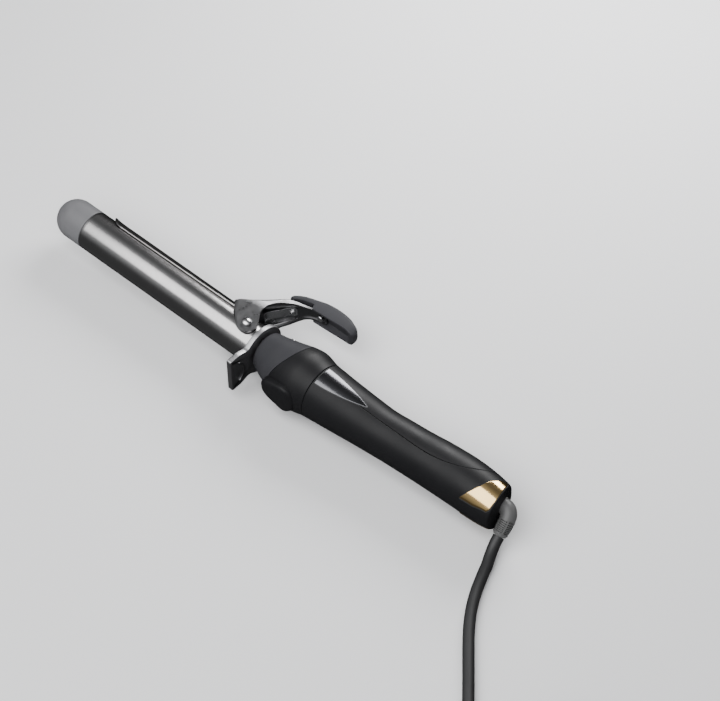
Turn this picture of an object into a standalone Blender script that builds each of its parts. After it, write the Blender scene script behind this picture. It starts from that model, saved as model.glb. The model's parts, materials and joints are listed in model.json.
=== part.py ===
"""A clamp-type hair curler whose barrel is turned by a geared motor in its handle, lying on its flank.

Iron coordinates are millimetres with the origin on the barrel's axis near the clamp's pivot: X runs along
the barrel towards the cord, Y points to the thumb lever's side and Z is the flank that faces up.
The empty "iron" places them in the world, so that the part's own origin is at the middle of its base.
"""

import math

import bmesh
import bpy
import numpy as np
from mathutils import Matrix, Vector

MM = 0.001
GAP = 0.3  # between pieces that touch

# Driving dimensions, in millimetres
BARREL_R = 12.5
BARREL_WALL = 1.1
TIP_X = -146.0
CAP_SEAM_X = -120.7
TUBE_END_X = 17.0
PIVOT = (7.4, 0.8)
EAR_R = 6.6
FLANGE_X = (17.2, 20.7)
FLANGE_R = 16.0
FOOT_Y = -27.4
FOOT_HALF = 13.2
BULB_R = 19.9
CONE_X = 21.6
COLLAR_END_X = 67.5
HANDLE_END_X = 203.1  # where the bowed end surface reaches furthest
END_MIDDLE_Y = -4.0
END_BOW = 0.0093
SHELL_WALL = 2.2
SHAFT_R = 4.6
GEAR_MODULE = 10.0 / 18.0  # gives a centre distance of 10 mm to 24 and 12 teeth
GEAR_TEETH = 24
PINION_TEETH = 12
GEAR_X = (39.5, 43.0)
MOTOR_Y = -10.0
SWIVEL_Y = 7.4
CORD_R = 3.5
SWIVEL_X = 206.0
AXIS_HEIGHT = BULB_R  # the bulb's flank touches the surface
X_MIDDLE, Y_MIDDLE = 29.25, 10.2  # the middle of the base, without the cord

ROUND = 40  # sides of the barrel
BODY_ROUND = 32  # sides of the handle
INNER_ROUND = 20  # sides of the handle's inside
FLOOR = -AXIS_HEIGHT

# The handle from its front edge to its rear end: station, radius, offset of its centre to the lever's side.
HANDLE_STATIONS = (
    (21.6, 10.8, 1.3),
    (22.4, 11.9, 1.3),
    (24.0, 12.6, 1.2),
    (29.0, 14.0, 0.5),
    (34.0, 15.4, 0.1),
    (40.0, 16.8, 0.0),
    (45.0, 18.1, 0.0),
    (50.0, 19.3, 0.0),
    (55.6, BULB_R, 0.0),
    (60.0, 19.3, 0.0),
    (64.0, 18.3, 0.0),
    (67.5, 17.8, 0.0),
    (70.0, 17.6, 0.0),
    (85.0, 16.5, 0.2),
    (104.0, 15.2, 0.7),
    (114.0, 14.7, 1.0),
    (125.0, 14.7, 1.9),
    (140.0, 14.9, 3.0),
    (155.0, 15.4, 4.3),
    (173.0, 15.7, 5.2),
    (186.0, 15.4, 5.1),
    (195.0, 14.7, 4.8),
    (200.0, 13.9, 4.6),
    (204.0, 12.9, 4.6),
    (207.0, 12.0, 4.6),
    (210.0, 11.0, 4.6),
)
FORM_END_X = HANDLE_STATIONS[-1][0]  # the form runs past the end surface that cuts it


def clear_scene():
    for o in list(bpy.data.objects):
        bpy.data.objects.remove(o)


def material(name, colour, roughness, metallic=0.0):
    m = bpy.data.materials.new(name)
    m.use_nodes = True
    shader = m.node_tree.nodes["Principled BSDF"]
    shader.inputs["Base Color"].default_value = (*colour, 1.0)
    shader.inputs["Roughness"].default_value = roughness
    shader.inputs["Metallic"].default_value = metallic
    m.diffuse_color = (*colour, 1.0)
    return m


# ---- meshes, from points in millimetres ----


def mesh_object(name, points, faces):
    mesh = bpy.data.meshes.new(name)
    mesh.from_pydata([[c * MM for c in p] for p in points], [], faces)
    face_out(mesh)
    o = bpy.data.objects.new(name, mesh)
    bpy.context.scene.collection.objects.link(o)
    return o


def face_out(mesh):
    b = bmesh.new()
    b.from_mesh(mesh)
    bmesh.ops.recalc_face_normals(b, faces=b.faces)
    b.to_mesh(mesh)
    b.free()


def skin(name, rings, loop=False):
    """A solid through rings of equal counts; a single point is a pole, and loop joins the last to the first."""
    points, starts, faces = [], [], []
    for ring in rings:
        starts.append(len(points))
        points += ring
    pairs = list(zip(range(len(rings)), range(1, len(rings))))
    if loop:
        pairs.append((len(rings) - 1, 0))
    for i, j in pairs:
        n, m = len(rings[i]), len(rings[j])
        for k in range(max(n, m)):
            a, b = starts[i] + k % n, starts[i] + (k + 1) % n
            c, d = starts[j] + (k + 1) % m, starts[j] + k % m
            faces.append([a, b, c, d] if n > 1 and m > 1 else ([a, b, d] if m == 1 else [a, c, d]))
    if not loop:
        for i in (0, len(rings) - 1):
            if len(rings[i]) > 1:
                faces.append(list(range(starts[i], starts[i] + len(rings[i]))))
    return mesh_object(name, points, faces)


def circle(x, r, cy=0.0, cz=0.0, sides=ROUND):
    if r == 0:
        return [(x, cy, cz)]
    turn = [2 * math.pi * k / sides for k in range(sides)]
    return [(x, cy + r * math.cos(t), cz + r * math.sin(t)) for t in turn]


def turned(name, profile, centre=(0.0, 0.0), sides=ROUND, loop=False):
    """A solid of revolution about an axis along X, from (x, r) pairs."""
    rings = [circle(x, r, *centre, sides=sides) for x, r in profile]
    return skin(name, rings, loop)


def ring_solid(name, x0, x1, r_in, r_out, centre=(0.0, 0.0), sides=32, edge=0.0):
    profile = [(x0, r_in), (x0, r_out - edge), (x0 + edge, r_out)]
    profile += [(x1 - edge, r_out), (x1, r_out - edge), (x1, r_in)]
    if edge == 0:
        profile = [(x0, r_in), (x0, r_out), (x1, r_out), (x1, r_in)]
    return turned(name, profile, centre, sides, loop=True)


def rod(name, start, axis, length, r, sides=24, edge=0.0):
    """A cylinder from start along "X", "Y" or "Z"; a negative length runs backwards."""
    profile = [(0, r), (length, r)]
    if edge:
        profile = [(0, r - edge), (edge, r), (length - edge, r), (length, r - edge)]
    rings = []
    for s, radius in profile:
        ring = []
        for k in range(sides):
            t = 2 * math.pi * (k + 0.5) / sides
            u, v = radius * math.cos(t), radius * math.sin(t)
            offset = {"X": (s, u, v), "Y": (v, s, u), "Z": (u, v, s)}[axis]
            ring.append(tuple(a + b for a, b in zip(start, offset)))
        rings.append(ring)
    return skin(name, rings)


def pin_along(name, profile, axis, centre, sides=16, sign=1):
    """A solid of revolution along "Y" or "Z", from (height, r) pairs; sign -1 mirrors the heights."""
    rings = []
    for h, r in profile:
        turn = [2 * math.pi * (k + 0.5) / sides for k in range(sides)] if r else [0]
        spots = [(r * math.cos(t), r * math.sin(t)) for t in turn]
        if axis == "Y":
            rings.append([(centre[0] + u, sign * h, centre[1] + v) for u, v in spots])
        else:
            rings.append([(centre[0] + u, centre[1] + v, sign * h) for u, v in spots])
    return skin(name, rings)


def prism(name, outline, axis, low, high):
    """An outline extruded along an axis: XY outlines along Z, YZ along X and XZ along Y."""
    place = {
        "Z": lambda p, s: (p[0], p[1], s),
        "X": lambda p, s: (s, p[0], p[1]),
        "Y": lambda p, s: (p[0], s, p[1]),
    }[axis]
    return skin(name, [[place(p, s) for p in outline] for s in (low, high)])


def block(name, low, high):
    corners = [(low[0], low[1]), (high[0], low[1]), (high[0], high[1]), (low[0], high[1])]
    return prism(name, corners, "Z", low[2], high[2])


def soften(o, width, segments=2, angle=30.0):
    """Rounds the edges whose faces meet at more than an angle."""
    b = bmesh.new()
    b.from_mesh(o.data)
    edges = [e for e in b.edges if len(e.link_faces) == 2 and e.calc_face_angle() > math.radians(angle)]
    bmesh.ops.bevel(b, geom=edges, offset=width * MM, segments=segments, affect="EDGES", clamp_overlap=True)
    bmesh.ops.remove_doubles(b, verts=b.verts, dist=1e-6)
    b.to_mesh(o.data)
    b.free()
    return o


def boolean(target, tool, operation="DIFFERENCE"):
    """Cuts, joins or intersects, keeps the result as the target's mesh and removes the tool."""
    m = target.modifiers.new("cut", "BOOLEAN")
    m.operation = operation
    m.solver = "EXACT"
    m.object = tool
    bpy.context.view_layer.update()
    result = bpy.data.meshes.new_from_object(target.evaluated_get(bpy.context.evaluated_depsgraph_get()))
    target.modifiers.remove(m)
    old, target.data = target.data, result
    bpy.data.meshes.remove(old)
    bpy.data.objects.remove(tool)
    weld(target)
    return target


def weld(o):
    b = bmesh.new()
    b.from_mesh(o.data)
    bmesh.ops.remove_doubles(b, verts=b.verts, dist=2e-6)
    bmesh.ops.dissolve_degenerate(b, edges=b.edges, dist=1e-6)
    b.to_mesh(o.data)
    b.free()


def arc(cx, cy, r, start, end, count):
    turn = [math.radians(start + (end - start) * k / (count - 1)) for k in range(count)]
    return [(cx + r * math.cos(t), cy + r * math.sin(t)) for t in turn]


def smooth_through(points, count):
    """Points at even steps along a Catmull-Rom curve through the given ones."""
    p = np.array(points, float)
    p = np.vstack([2 * p[0] - p[1], p, 2 * p[-1] - p[-2]])
    dense = []
    for i in range(1, len(p) - 2):
        for t in np.linspace(0, 1, 24, endpoint=False):
            a, b, c, d = p[i - 1 : i + 3]
            dense.append(
                0.5 * (2 * b + (c - a) * t + (2 * a - 5 * b + 4 * c - d) * t**2 + (3 * b - a - 3 * c + d) * t**3)
            )
    dense = np.array(dense + [p[-2]])
    along = np.concatenate([[0], np.cumsum(np.linalg.norm(np.diff(dense, axis=0), axis=1))])
    at = np.linspace(0, along[-1], count)
    return [tuple(float(np.interp(s, along, dense[:, k])) for k in range(p.shape[1])) for s in at]


def sweep(name, path, radii, sides=16):
    """A round solid along a curve, from its points and the radius at each."""
    side, rings = Vector((0, 0, 1)), []
    for i, p in enumerate(path):
        a, b = Vector(path[max(i - 1, 0)]), Vector(path[min(i + 1, len(path) - 1)])
        ahead = (b - a).normalized()
        side = (side - ahead * side.dot(ahead)).normalized()
        up = ahead.cross(side)
        turn = [2 * math.pi * k / sides for k in range(sides)]
        rings.append([tuple(Vector(p) + radii[i] * (side * math.cos(t) + up * math.sin(t))) for t in turn])
    return skin(name, rings)


# ---- the handle's outer form ----


def handle_form(name, x0, x1, offset=0.0, step=5.0, sides=BODY_ROUND):
    """The handle's outline between two stations, grown or shrunk by an offset."""
    xs = [s[0] for s in HANDLE_STATIONS]
    at = [x0]
    for x in [x for x in xs if x0 + 0.3 < x < x1 - 0.3] + [x1]:
        while x - at[-1] > step:
            at.append(min(at[-1] + step, x - 1.0))
        if x == x1 or x - at[-1] > min(step, 1.0) * 0.5:
            at.append(x)
    rings = []
    for x in at:
        rings.append(circle(x, radius_at(x) + offset, offset_at(x), sides=sides))
    return skin(name, rings)


def station(x, column):
    """The handle's radius or centre offset at x, on a smooth curve through its stations."""
    rows = HANDLE_STATIONS
    i = max(1, min(len(rows) - 1, next((k for k, s in enumerate(rows) if s[0] >= x), len(rows) - 1)))
    a, b = rows[i - 1], rows[i]
    before, after = rows[max(i - 2, 0)], rows[min(i + 1, len(rows) - 1)]
    t = (x - a[0]) / (b[0] - a[0])
    slope_a = (b[column] - before[column]) / (b[0] - before[0])
    slope_b = (after[column] - a[column]) / (after[0] - a[0])
    h = b[0] - a[0]
    return (
        (2 * t**3 - 3 * t**2 + 1) * a[column]
        + (t**3 - 2 * t**2 + t) * h * slope_a
        + (3 * t**2 - 2 * t**3) * b[column]
        + (t**3 - t**2) * h * slope_b
    )


def radius_at(x):
    return station(x, 1)


def offset_at(x):
    return station(x, 2)


# ---- the barrel ----


def barrel_tube():
    inner = BARREL_R - BARREL_WALL
    a, b, edge = CAP_SEAM_X + GAP, TUBE_END_X, 0.25
    o = turned(
        "barrel_tube",
        [
            (a, inner), (a, BARREL_R - edge), (a + edge, BARREL_R),
            (b - edge, BARREL_R), (b, BARREL_R - edge), (b, inner),
        ],
        loop=True,
    )
    return boolean(o, rod("rivet_holes", (*PIVOT, -20), "Z", 40, 2.4, sides=20))


def tip_cap():
    """A domed heat-proof tip with a spigot in the tube."""
    middle = TIP_X + BARREL_R
    dome = [(middle - y, z) for y, z in arc(0, 0, BARREL_R, 0, 90, 7)]
    wall, spigot_r, spigot_x = 2.4, BARREL_R - BARREL_WALL - GAP, -112.0
    hollow = BARREL_R - wall
    inside = [(middle - y, z) for y, z in arc(0, 0, hollow, 90, 0, 4)]
    profile = dome + [(CAP_SEAM_X - 0.4, BARREL_R), (CAP_SEAM_X, BARREL_R - 0.4), (CAP_SEAM_X, spigot_r)]
    profile += [(spigot_x, spigot_r), (spigot_x, hollow - 0.6), (CAP_SEAM_X - 1, hollow - 0.6)] + inside
    return turned("tip_cap", [(x, 0 if r < 1e-6 else r) for x, r in profile], sides=32)


def heat_spreader(name, side):
    """Half of the round aluminium block that clamps the ceramic heaters against the tube's inside."""
    low = 1.7
    r = BARREL_R - BARREL_WALL - 0.4
    start = math.degrees(math.asin(low / r))
    outline = [(side * y, z) for z, y in arc(0, 0, r, start, 180 - start, 25)]
    return soften(prism(name, outline, "X", -108, -10), 0.3, 1, 40)


def ptc_heater():
    """Three ceramic chips on their electrode strip."""
    o = block("ptc_heater", (-105, -0.3, -6), (-12, 0.3, 6))
    for x in (-104, -73, -42):
        boolean(o, block("chip", (x, -1.3, -7), (x + 26, 1.3, 7)), "UNION")
    return o


def temperature_sensor():
    return rod("temperature_sensor", (-62, 0, 8.9), "X", 9, 1.15, 12, 0.3)


def thermal_fuse():
    return rod("thermal_fuse", (-7.5, 5.2, 0), "X", 11, 1.9, 16, 0.4)


def heater_leads():
    """A flat twin lead from the heater through the journal to the slip rings."""
    o = rod("heater_leads", (-9.6, 0, -1.3), "X", 80, 0.7, 10)
    boolean(o, rod("lead", (-9.6, 0, 1.3), "X", 80, 0.7, 10), "UNION")
    return boolean(o, block("web", (-9.6, -0.25, -1.3), (70.4, 0.25, 1.3)), "UNION")


SCREW_RING = 8.9
SCREW_ANGLES = (90, 210, 330)


def screw_places():
    for a in SCREW_ANGLES:
        yield SCREW_RING * math.cos(math.radians(a)), SCREW_RING * math.sin(math.radians(a))


def barrel_hub():
    """Heat-proof carrier: a spigot in the tube, a neck through the flange and a hollow journal in the bushes."""
    spigot_r, neck_r, bore_r = BARREL_R - BARREL_WALL - GAP, 6.6, 2.6
    o = turned(
        "barrel_hub",
        [
            (11.6, 5.6), (11.6, spigot_r), (FLANGE_X[0] - GAP, spigot_r), (FLANGE_X[0] - GAP, neck_r),
            (21.2, neck_r), (22.0, SHAFT_R), (86.0, SHAFT_R), (86.0, bore_r), (17.5, bore_r), (15.0, 5.6),
        ],
        loop=True, sides=32,
    )
    for y, z in screw_places():
        boolean(o, rod("screw_hole", (12.6, y, z), "X", 6, 1.1, 8))
    return o


def stand_flange():
    """The plate behind the barrel, with the foot that the hot iron is propped on."""
    half = arc(0, 0, FLANGE_R, 0, 128, 20)
    side = [(-11.8, 11.2), (-13.8, 11.3), (-16.2, 12.2), (-19.0, 13.0), (-21.5, FOOT_HALF), (-26.2, FOOT_HALF)]
    foot = side + [(-27.1, 12.9), (FOOT_Y, 12.1)]
    right = half + foot
    outline = right + [(y, -z) for y, z in reversed(right[1:])]
    o = soften(prism("stand_flange", outline, "X", *FLANGE_X), 0.5, 1, 60)
    boolean(o, rod("neck_hole", (15, 0, 0), "X", 8, 6.9, 32))
    for y, z in screw_places():
        boolean(o, rod("screw_hole", (15, y, z), "X", 8, 1.1, 8))
        boolean(o, rod("head_hole", (19.5, y, z), "X", 3, 2.05, 12))
    outer, inner = arc(-27.0, 0, 10.6, 60, -60, 11), arc(-27.0, 0, 9.4, -60, 60, 11)
    rib = prism("rib", [(y, z) for y, z in outer + inner], "X", FLANGE_X[1] - 0.4, FLANGE_X[1] + 0.7)
    return boolean(o, rib, "UNION")


def flange_screw(index):
    y, z = list(screw_places())[index]
    profile = [(13.2, 0), (13.2, 0.8), (19.8, 0.8), (19.8, 1.7)]
    profile += [(20.6, 1.7), (20.6, 0.7), (20.1, 0.6), (20.1, 0)]
    return turned("screw", profile, (y, z), 12)


def gear_outline(teeth, backlash, phase):
    """An involute gear's outline, with a tooth centred on the phase angle."""
    pitch, pressure = GEAR_MODULE * teeth / 2, math.radians(20)
    base, tip, root = pitch * math.cos(pressure), pitch + 0.85 * GEAR_MODULE, pitch - 1.15 * GEAR_MODULE
    half = math.pi / (2 * teeth) - backlash / (2 * pitch)

    def involute(r):
        a = math.acos(min(1, base / r))
        return math.tan(a) - a

    start, points = max(base, root), []
    for k in range(teeth):
        middle = phase + 2 * math.pi * k / teeth
        radii = [start, pitch, tip]
        half_at = [half + involute(pitch) - involute(r) for r in radii]
        left = [(r, middle - h) for r, h in zip(radii, half_at)]
        right = [(r, middle + h) for r, h in reversed(list(zip(radii, half_at)))]
        points += [(root, middle - half_at[0])] + left + right + [(root, middle + half_at[0])]
    if root >= base:
        points = [p for i, p in enumerate(points) if i == 0 or p != points[i - 1]]
    return [(r * math.cos(a), r * math.sin(a)) for r, a in points]


def driven_gear():
    o = prism("driven_gear", gear_outline(GEAR_TEETH, 0.1, math.pi), "X", *GEAR_X)
    return boolean(o, rod("bore", (GEAR_X[0] - 1, 0, 0), "X", 6, SHAFT_R + GAP, 28))


def slip_rings():
    """Two contact rings on their sleeve."""
    inner, sleeve, ring = SHAFT_R + GAP, 5.5, 6.2
    profile = [(69.6, inner), (69.6, sleeve)]
    for x in (70.0, 73.6):
        profile += [(x, sleeve), (x, ring), (x + 2, ring), (x + 2, sleeve)]
    return turned("slip_rings", profile + [(76.0, sleeve), (76.0, inner)], sides=24, loop=True)


def retaining_ring():
    return ring_solid("retaining_ring", 84.2, 85.0, SHAFT_R + 0.2, 6.6, sides=24)


def pivot_rivet(side):
    """A domed rivet that holds one of the lever's ears to the tube wall."""
    profile = [(9.5, 0), (9.5, 3.1), (10.3, 3.1), (10.3, 2.1), (14.8, 2.1)]
    profile += [(14.8, 3.1), (15.4, 3.0), (16.2, 2.4), (16.7, 1.3), (16.9, 0)]
    return pin_along("rivet", profile, "Z", PIVOT, 16, side)


# ---- the clamp and its lever ----


def clamp_plate():
    """The spoon: a sheet that lies along the barrel on the lever's side, with a rounded, slightly flared tip."""
    front, rear, thickness, gap = -113.0, -2.0, 1.0, 0.35
    xs = [front + 11 * (1 - math.cos(math.radians(a))) for a in range(0, 91, 15)]
    xs += [front + 11 + (rear - front - 11) * k / 8 for k in range(1, 9)]
    across, rings = 12, []
    for x in xs:
        near = min(1.0, (x - front) / 11)
        half = math.radians(62 - 5 * (x - front) / (rear - front)) * max(0.12, math.sqrt(1 - (1 - near) ** 2))
        lift = 0.8 * max(0.0, 1 - (x - front) / 9) ** 2
        inner = BARREL_R + gap + lift
        turn = [half * (2 * k / across - 1) for k in range(across + 1)]
        low = [(x, inner * math.cos(t), inner * math.sin(t)) for t in turn]
        outer = inner + thickness
        high = [(x, outer * math.cos(t), outer * math.sin(t)) for t in reversed(turn)]
        rings.append(low + high)
    o = skin("clamp_plate", rings)
    for x in TAB_RIVETS_X:
        boolean(o, rod("hole", (x, 8, 0), "Y", 10, 1.1, 12))
    return o


TAB_RIVETS_X = (-13.0, -8.0)
TAB_Y = (14.2, 15.4)
TAB_FRONT_X = -15.8

# The lever's side walls from the ears to the tongue: left edge, right edge, half width, corner radius.
LEVER_STATIONS = (
    ((-3.2, 1.6), (10.6, 8.2), 14.4, 1.2),
    ((-7.6, 6.2), (8.6, 11.2), 14.4, 1.2),
    ((-8.9, 10.0), (7.7, 13.4), 14.4, 1.6),
    ((-6.4, 13.4), (7.4, 15.8), 14.3, 2.2),
    ((-2.3, 17.4), (7.3, 18.2), 13.9, 2.6),
    ((2.2, 22.4), (7.5, 20.8), 13.1, 2.6),
    ((6.6, 27.8), (9.4, 25.2), 12.0, 2.4),
    ((10.8, 33.0), (13.0, 29.8), 10.5, 1.8),
    ((15.2, 36.6), (16.7, 34.0), 8.2, 1.5),
    ((19.7, 39.2), (20.7, 37.2), 5.8, 1.2),
    ((25.0, 41.3), (25.5, 39.4), 4.8, 0.9),
    ((33.0, 43.0), (33.1, 41.2), 4.7, 0.9),
)


def lever_rings(inset, from_station, left_reach):
    """Rounded-rectangle rings across the lever; inset shrinks them, left_reach opens them past the left edge."""
    sheet = 1.4
    rings = []
    bottom = []
    for s in (-EAR_R * 0.985, -EAR_R * 0.86, -EAR_R * 0.5, 0.0):
        half = math.sqrt(EAR_R**2 - s**2)
        centre = (PIVOT[0] - 0.6 * s, PIVOT[1] + 0.8 * s)
        left = (centre[0] - 0.8 * half, centre[1] - 0.6 * half)
        right = (centre[0] + 0.8 * half, centre[1] + 0.6 * half)
        bottom.append((left, right, 14.4, 1.2))
    for index, (left, right, w, corner) in enumerate(bottom + list(LEVER_STATIONS)):
        l, r = Vector((*left, 0)), Vector((*right, 0))
        across = (r - l).normalized()
        if inset:
            web = index >= from_station
            l = l + across * sheet if web else l - across * left_reach
            r = r + across * left_reach
            w, corner = w - sheet, max(corner - sheet, 0.3)
        ring = [r + Vector((0, 0, w))]
        for a in (90, 60, 30, 0):
            t = math.radians(a)
            ring.append(l + across * corner * (1 - math.cos(t)) + Vector((0, 0, w - corner * (1 - math.sin(t)))))
        ring += [Vector((p.x, p.y, -p.z)) for p in reversed(ring)]
        rings.append([tuple(p) for p in ring])
    return rings


def lever_bracket():
    """A pressed channel: two ears on the pivot rivets and a web that runs up to a tongue in the thumb cap."""
    o = skin("lever_bracket", lever_rings(False, 0, 0))
    boolean(o, skin("inside", lever_rings(True, 8, 6.0)))
    low, high = TAB_Y
    tab = [(TAB_FRONT_X, low), (-3.6, low), (-0.6, 17.2), (0.5, 18.8), (-0.6, 19.3), (-2.9, 16.9), (-5.4, high)]
    tab.append((TAB_FRONT_X, high))
    boolean(o, prism("tab", tab, "Z", -5.5, 5.5), "UNION")
    boolean(o, rod("ear_holes", (*PIVOT, -20), "Z", 40, 2.4, 20))
    for x in TAB_RIVETS_X:
        boolean(o, rod("hole", (x, 13, 0), "Y", 5, 1.1, 12))
    boolean(o, spring_hole())
    return boolean(o, rod("screw_hole", (CAP_SCREW_X, 38, 0), "Y", 8, 1.5, 12))


def plate_rivet(x):
    top = TAB_Y[1] + 0.15
    profile = [(12.95, 0), (12.95, 0.8), (top, 0.8), (top, 1.6), (top + 0.3, 1.3), (top + 0.5, 0)]
    return pin_along("rivet", profile, "Y", (x, 0))


CAP_SCREW_X = 30.0
CAP_HALF = 6.5
SPRING_RIVET = (14.05, 33.16)
SPRING_TILT = 39.2  # degrees from the lever's side to the arm's normal


def thumb_cap():
    """The black thumb rest over the lever's tongue: a thin lip along the web, then a hollow pad."""
    outline = [
        (9.6, 36.4), (11.7, 39.2), (14.8, 41.7), (17.9, 43.9), (20.9, 45.6), (28.0, 48.3), (36.6, 49.4),
        (45.4, 48.9),
        (50.6, 47.4), (53.8, 46.3), (55.6, 44.4), (55.7, 42.2), (55.2, 39.7), (48.3, 40.1), (39.3, 39.6),
        (33.2, 39.2),
        (25.8, 38.8), (24.4, 39.4), (23.6, 42.0), (19.6, 40.4), (17.0, 38.9), (12.2, 35.6),
    ]
    o = prism("thumb_cap", outline, "Z", -10, 10)
    right = [(8.8, 0), (9.2, 5.0), (10.4, 8.0), (12.6, 8.9), (16.0, 8.4), (20.0, 7.2), (25.0, CAP_HALF)]
    right += [(48.0, CAP_HALF), (53.0, 5.6), (55.8, 3.2), (56.2, 0)]
    plan = right + [(x, -z) for x, z in reversed(right[1:-1])]
    boolean(o, prism("plan", plan, "Y", 20, 60), "INTERSECT")
    soften(o, 0.7, 2, 35)
    hollow = CAP_HALF - 1.3
    boolean(o, block("inside", (24.5, 36.0, -hollow), (52.4, 43.6, hollow)))
    boolean(o, block("passage", (22.0, 36.0, -hollow), (25.0, 42.4, hollow)))
    return boolean(o, rod("screw_hole", (CAP_SCREW_X, 40, 0), "Y", 5.6, 1.3, 12))


def thumb_cap_screw():
    profile = [(39.0, 0), (39.0, 1.9), (39.4, 2.2), (40.0, 2.2), (40.0, 0.95), (45.2, 0.95), (45.2, 0)]
    return pin_along("thumb_cap_screw", profile, "Y", (CAP_SCREW_X, 0))


SPRING_LINE = (
    (16.2, 34.9), (14.05, 33.16), (12.0, 31.3), (9.8, 27.7), (7.2, 24.2), (4.9, 20.4), (5.0, 17.6),
    (7.6, 15.5),
    (11.0, 13.8), (13.0, 13.3), (14.6, 13.9),
)


def leaf_spring():
    """A bent strip, riveted under the lever's arm, whose free end presses on the barrel behind the pivot."""
    thickness, half = 0.5, 3.4
    path = smooth_through(SPRING_LINE, 26)
    rings = []
    for i, p in enumerate(path):
        a, b = path[max(i - 1, 0)], path[min(i + 1, len(path) - 1)]
        d = math.hypot(b[0] - a[0], b[1] - a[1])
        nx, ny = -(b[1] - a[1]) / d * thickness / 2, (b[0] - a[0]) / d * thickness / 2
        ring = [(p[0] + nx, p[1] + ny, -half), (p[0] + nx, p[1] + ny, half)]
        rings.append(ring + [(p[0] - nx, p[1] - ny, half), (p[0] - nx, p[1] - ny, -half)])
    o = skin("leaf_spring", rings)
    return boolean(o, spring_hole())


def at_spring_rivet(o):
    """Turns a piece built along Y to the arm's normal and moves it to the spring's rivet."""
    turn = Matrix.Rotation(math.radians(SPRING_TILT), 4, "Z")
    o.data.transform(Matrix.Translation(Vector((*SPRING_RIVET, 0)) * MM) @ turn)
    return o


def spring_hole():
    return at_spring_rivet(rod("spring_hole", (0, -2, 0), "Y", 6, 1.0, 12))


def spring_rivet():
    profile = [(-1.6, 0), (-1.6, 1.1), (-1.1, 1.8), (-0.55, 1.8), (-0.55, 0.7), (2.2, 0.7), (2.2, 0)]
    return at_spring_rivet(pin_along("spring_rivet", profile, "Y", (0, 0), 12))


# ---- the handle's shells and what they carry ----


def seam_x(y):
    """The slanted seam between the front cone and the collar."""
    return 49.1 - 0.0135 * (y - 11.0) ** 2


def seam_prism(name, shift, to_rear):
    ys = [24 - 4.0 * k for k in range(13)]
    line = [(seam_x(y) + shift, y) for y in ys]
    far = 90 if to_rear else 0
    return prism(name, line + [(far, ys[-1]), (far, ys[0])], "Z", -30, 30)


BUTTONS = {"rotate_button": (31.2, 1.4), "power_button": (45.0, 1.5)}  # middle, half length
BUTTON_HALF_WIDTH = 4.4
BUTTON_PROUD = 1.0
# The gearbox cover: half of its outline seen from the lever's side, and its bottom seen from the flank.
BELLY_HALF = (
    (36.6, 0.0), (37.2, 3.0), (40.0, 6.0), (44.0, 7.8), (48.0, 9.0), (52.5, 10.2), (56.0, 9.9),
    (59.0, 8.0), (61.0, 4.8),
    (61.8, 0.0),
)
BELLY_BOTTOM = ((36.0, -19.4), (37.6, -20.4), (41.0, -20.7), (54.5, -20.7), (58.5, -19.8), (63.0, -17.4))
BELLY_TOP_Y = -13.0


def button_plug(name, middle, half, grow, low, high):
    plan = []
    for cx, cz, start in ((1, 1, 0), (-1, 1, 90), (-1, -1, 180), (1, -1, 270)):
        corner = 1.0
        centre = (middle + cx * (half - corner), cz * (BUTTON_HALF_WIDTH - corner))
        plan += arc(*centre, corner + grow, start, start + 90, 4)
    return prism(name, plan, "Y", low, high)


def front_cone():
    """The tapering front cover, closed in front around the front bush."""
    o = handle_form("front_cone", CONE_X, 56.0, step=5.0)
    boolean(o, handle_form("inside", 27.0, 57.0, -SHELL_WALL, 9.0, INNER_ROUND))
    boolean(o, seam_prism("rear", -GAP / 2, True))
    boolean(o, rod("bush_hole", (20, 0, 0), "X", 12, 7.5, 32))
    boolean(o, belly_plan("seat", GAP, -30, -10))
    for middle, half in BUTTONS.values():
        boolean(o, button_plug("hole", middle, half, GAP, 4, 30))
    return o


def collar_shell():
    """The widest part of the handle, with a seat on its belly for the gearbox cover."""
    o = handle_form("collar_shell", 34.0, COLLAR_END_X, step=5.0)
    boolean(o, handle_form("inside", 33.0, COLLAR_END_X + 1, -SHELL_WALL, 9.0, INNER_ROUND))
    boolean(o, seam_prism("front", GAP / 2, False))
    return boolean(o, belly_plan("seat", GAP, -30, BELLY_TOP_Y + 1))


def grown(outline, middle, grow):
    """An outline moved outwards from a point inside it."""
    out = []
    for x, y in outline:
        d = math.hypot(x - middle[0], y - middle[1])
        out.append((x + (x - middle[0]) / d * grow, y + (y - middle[1]) / d * grow))
    return out


def belly_plan(name, grow, low, high):
    """The cover's outline seen from the lever's side, which is widest behind its middle."""
    outline = list(BELLY_HALF) + [(x, -z) for x, z in reversed(BELLY_HALF[1:-1])]
    return prism(name, grown(outline, (50.0, 0.0), grow), "Y", low, high)


def belly_cover():
    """The rounded cover over the gearbox, on the side away from the lever."""
    o = belly_plan("belly_cover", 0, -22, BELLY_TOP_Y)
    side = [*BELLY_BOTTOM, (63.0, -12.0), (36.0, -12.0)]
    boolean(o, prism("side", side, "Z", -14, 14), "INTERSECT")
    soften(o, 1.3, 3, 40)
    boolean(o, block("inside", (42.6, -18.6, -5.8), (57.5, 0, 5.8)))
    return boolean(o, block("gear_passage", (30, -15.4, -6.4), (70, 0, 6.4)))


# The line where the two grip shells part, seen from the flank; it sweeps to the lever's side at the rear.
PARTING = (
    (60.0, -2.2), (85.0, -2.0), (100.0, -1.8), (118.0, -1.6), (142.0, -1.6), (150.0, -1.3),
    (157.0, -0.5), (163.5, 0.8),
    (169.5, 2.6), (175.5, 5.2), (182.0, 9.6), (187.5, 15.0), (191.5, 21.0), (194.0, 28.0),
)


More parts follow.
